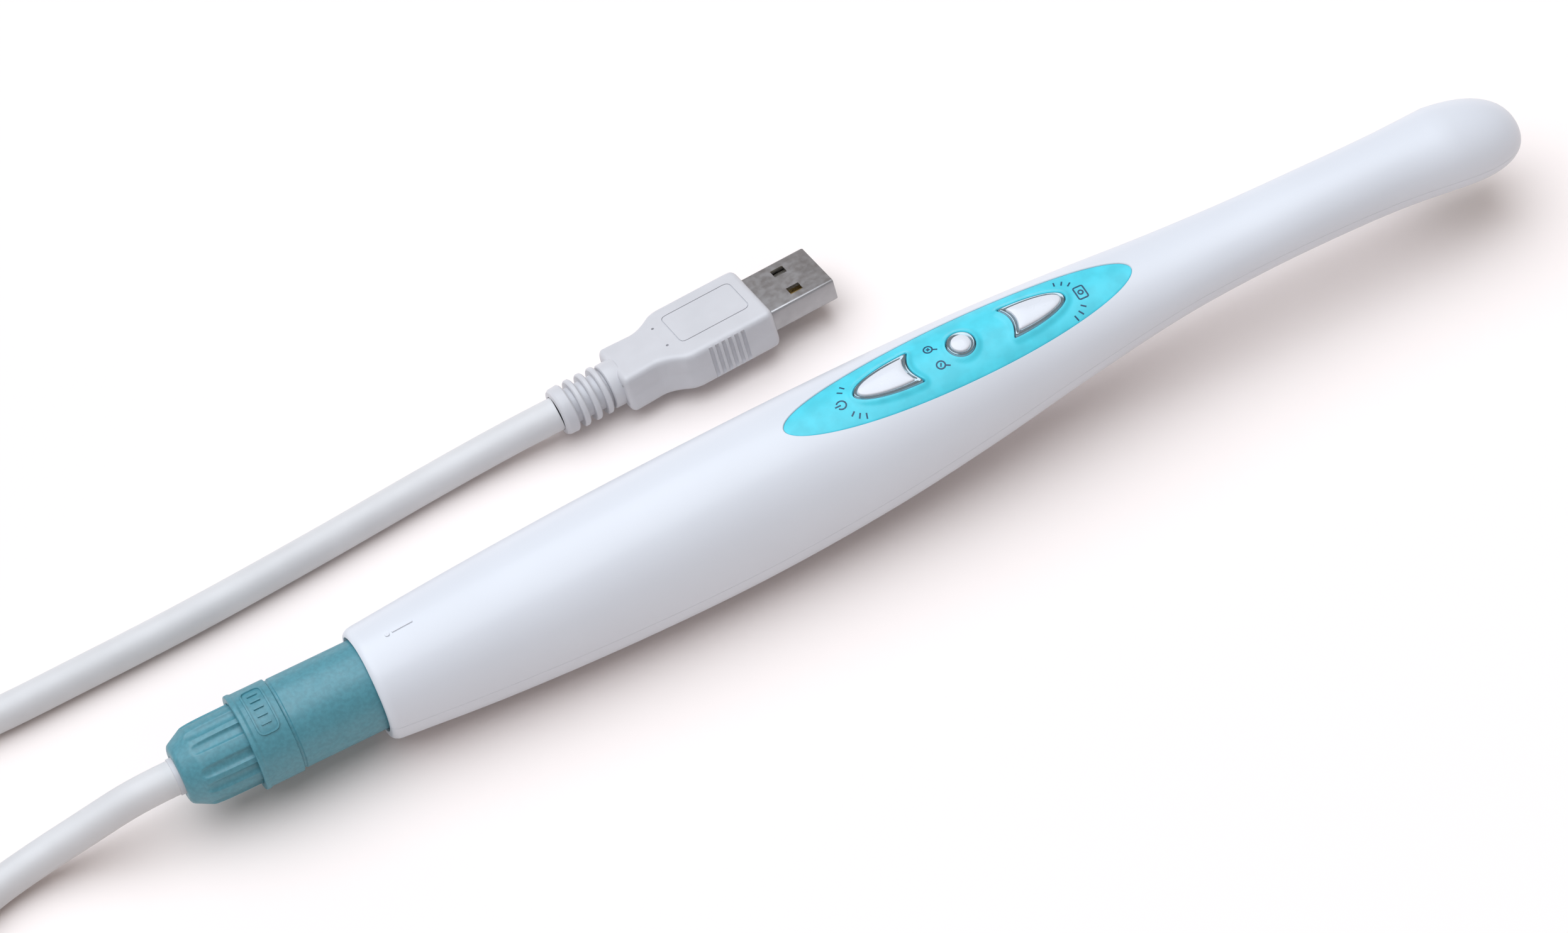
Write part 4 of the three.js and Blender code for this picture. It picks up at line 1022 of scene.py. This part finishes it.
def make_mould():
    """The moulded grip, rounded and waisted with grooved sides, and its ringed strain relief."""
    turns = np.linspace(0, math.pi / 2, 7)
    front, back = MOULD_FRONT - MOULD_EDGE, MOULD_BACK + MOULD_EDGE
    groove_from, groove_to = -18.6, -26.7
    stations = [(front + MOULD_EDGE * math.cos(a), MOULD_EDGE * (1 - math.sin(a))) for a in turns]
    spans = [(front - 0.2, groove_from, -0.3), (groove_from, groove_to, -0.1), (groove_to, back + 0.1, -0.3)]
    for start, end, step in spans:
        stations += [(x, 0) for x in np.arange(start, end, step)]
    stations += [(back - MOULD_EDGE * math.sin(a), MOULD_EDGE * (1 - math.cos(a))) for a in turns]
    rings = [grip_ring(x, sunk) for x, sunk in stations]
    mould = link_mesh("plug_grip", *skin(rings), USB_TURN)
    frame_line = [(box_outline(-22.4, 0.6, 7, 4.3, 1.2), True)]
    carve(mould, raised_strokes("line", frame_line, 0.22, lambda *p: p, 3.82, 4.3, USB_TURN))
    for y in (-2.5, 3.3):
        ring = circle(-31.7, 0.27, 20) + np.array((0, y))
        carve(mould, link_mesh("dot", *skin([level(ring, 3.6), level(ring, 5)]), USB_TURN))
    core, rim = 3.25, 4.5  # radii of the strain relief between its rings and at them
    profile = [(MOULD_BACK + 1, 0.5), (MOULD_BACK + 1, 4.3), (-44, 4.2), (-44.2, 3.9), (-44.2, core)]
    for x in (-45.3, -47.65, -50):
        profile += [(x + 0.55, core), (x + 0.55, 4.25), (x + 0.3, rim)]
        profile += [(x - 0.3, rim), (x - 0.55, 4.25), (x - 0.55, core)]
    profile += [(-51.6, core), (-51.6, 4.25), (-51.9, rim), (-53.5, 4.4), (-54, 4.1)]
    profile += [(-54.15, 3.35), (-54.1, 3.16), (-53.6, 3.16), (-53.5, 0.5)]
    relief = lathed("plug_relief", rounded(profile, 0.12, 2), 72, None, USB_TURN, z=0)
    finish_piece(mould, "plug_mould", stands_for=("usb_mould",), sharp=35)
    finish_piece(relief, "plug_mould", sharp=50)
    return mould, relief


usb_shell = make_usb_shell()
usb_mould, usb_relief = make_mould()

# ---------------------------------------------------------------- the coil's tie and the CAD's own pieces


def make_tie():
    """A soft strap drawn tight round the coil's bundle."""
    low, high = (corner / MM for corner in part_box("coil_tie"))
    held = np.array([(p.x, p.z) for p in cable_route if p.x < COIL_CENTRE.x and low[1] < p.y < high[1]])
    inner = CABLE_DIAMETER / 2 + 0.1
    outer = inner + 1
    soft = 0.25  # its edges are cut back by this much
    near, far = low[1], high[1]
    profile = [(near, outer - soft), (near + soft, outer), (far - soft, outer), (far, outer - soft)]
    profile += [(far, inner + soft), (far - soft, inner), (near + soft, inner), (near, inner + soft)]
    rings = []
    for y, radius in profile:
        ring = []
        for angle in around(96):
            out = np.array((math.cos(angle), math.sin(angle)))
            x, z = held[(held @ out).argmax()] + out * radius
            ring.append((x, y, z))
        rings.append(ring)
    tie = link_mesh("cable_tie", *skin(rings, "loop"))
    return finish_piece(tie, "insert_black", stands_for=("coil_tie",), sharp=50, look="strap_weave")


cable_tie = make_tie()


def paint_cad_nodes():
    """Every CAD node that stays in sight gets its slot's material."""
    for part in frame["record"]["subparts"]:
        node = frame["nodes"][part["node"]]
        if not node.hide_render:
            node.data.materials.clear()
            node.data.materials.append(MATERIALS[part["material_slot"]])


paint_cad_nodes()
on_cable = [usb_shell, usb_mould, usb_relief, cable_tie, frame["nodes"]["usb_tongue"]]
on_cable += [frame["nodes"][f"usb_contact_{i}"] for i in range(1, 5)]

# ---------------------------------------------------------------- floor and light


def make_sun(name, towards, energy, angle, color):
    data = bpy.data.lights.new(name, "SUN")
    data.energy, data.angle, data.color = energy, math.radians(angle), color
    lamp = bpy.data.objects.new(name, data)
    lamp.rotation_euler = Vector(towards).to_track_quat("-Z", "Y").to_euler()
    bpy.context.scene.collection.objects.link(lamp)


def make_stage():
    """A pale floor, a soft overhead key and a faint warm sky."""
    corners = [(-3000, -3000), (3000, -3000), (3000, 3000), (-3000, 3000)]
    floor = bpy.data.meshes.new("floor")
    floor.from_pydata([(x * MM, y * MM, -0.0001) for x, y in corners], [], [(0, 1, 2, 3)])
    piece = bpy.data.objects.new("floor", floor)
    bpy.context.scene.collection.objects.link(piece)
    paper = Surface("floor_white", (0.88, 0.815, 0.79), 0.8, {})
    floor.materials.append(paper.toned(400, 0.01).worn(200, 0.05).grained(4, 0.01).material)
    world = bpy.data.worlds.new("studio")
    bpy.context.scene.world = world
    world.use_nodes = True
    world.node_tree.nodes["Background"].inputs["Color"].default_value = (1, 0.9, 0.86, 1)
    world.node_tree.nodes["Background"].inputs["Strength"].default_value = 0.4
    make_sun("key", (0.2, -0.22, -0.95), 3.05, 75, (0.87, 0.935, 1))


make_stage()
bpy.context.scene.view_settings.view_transform = "Standard"
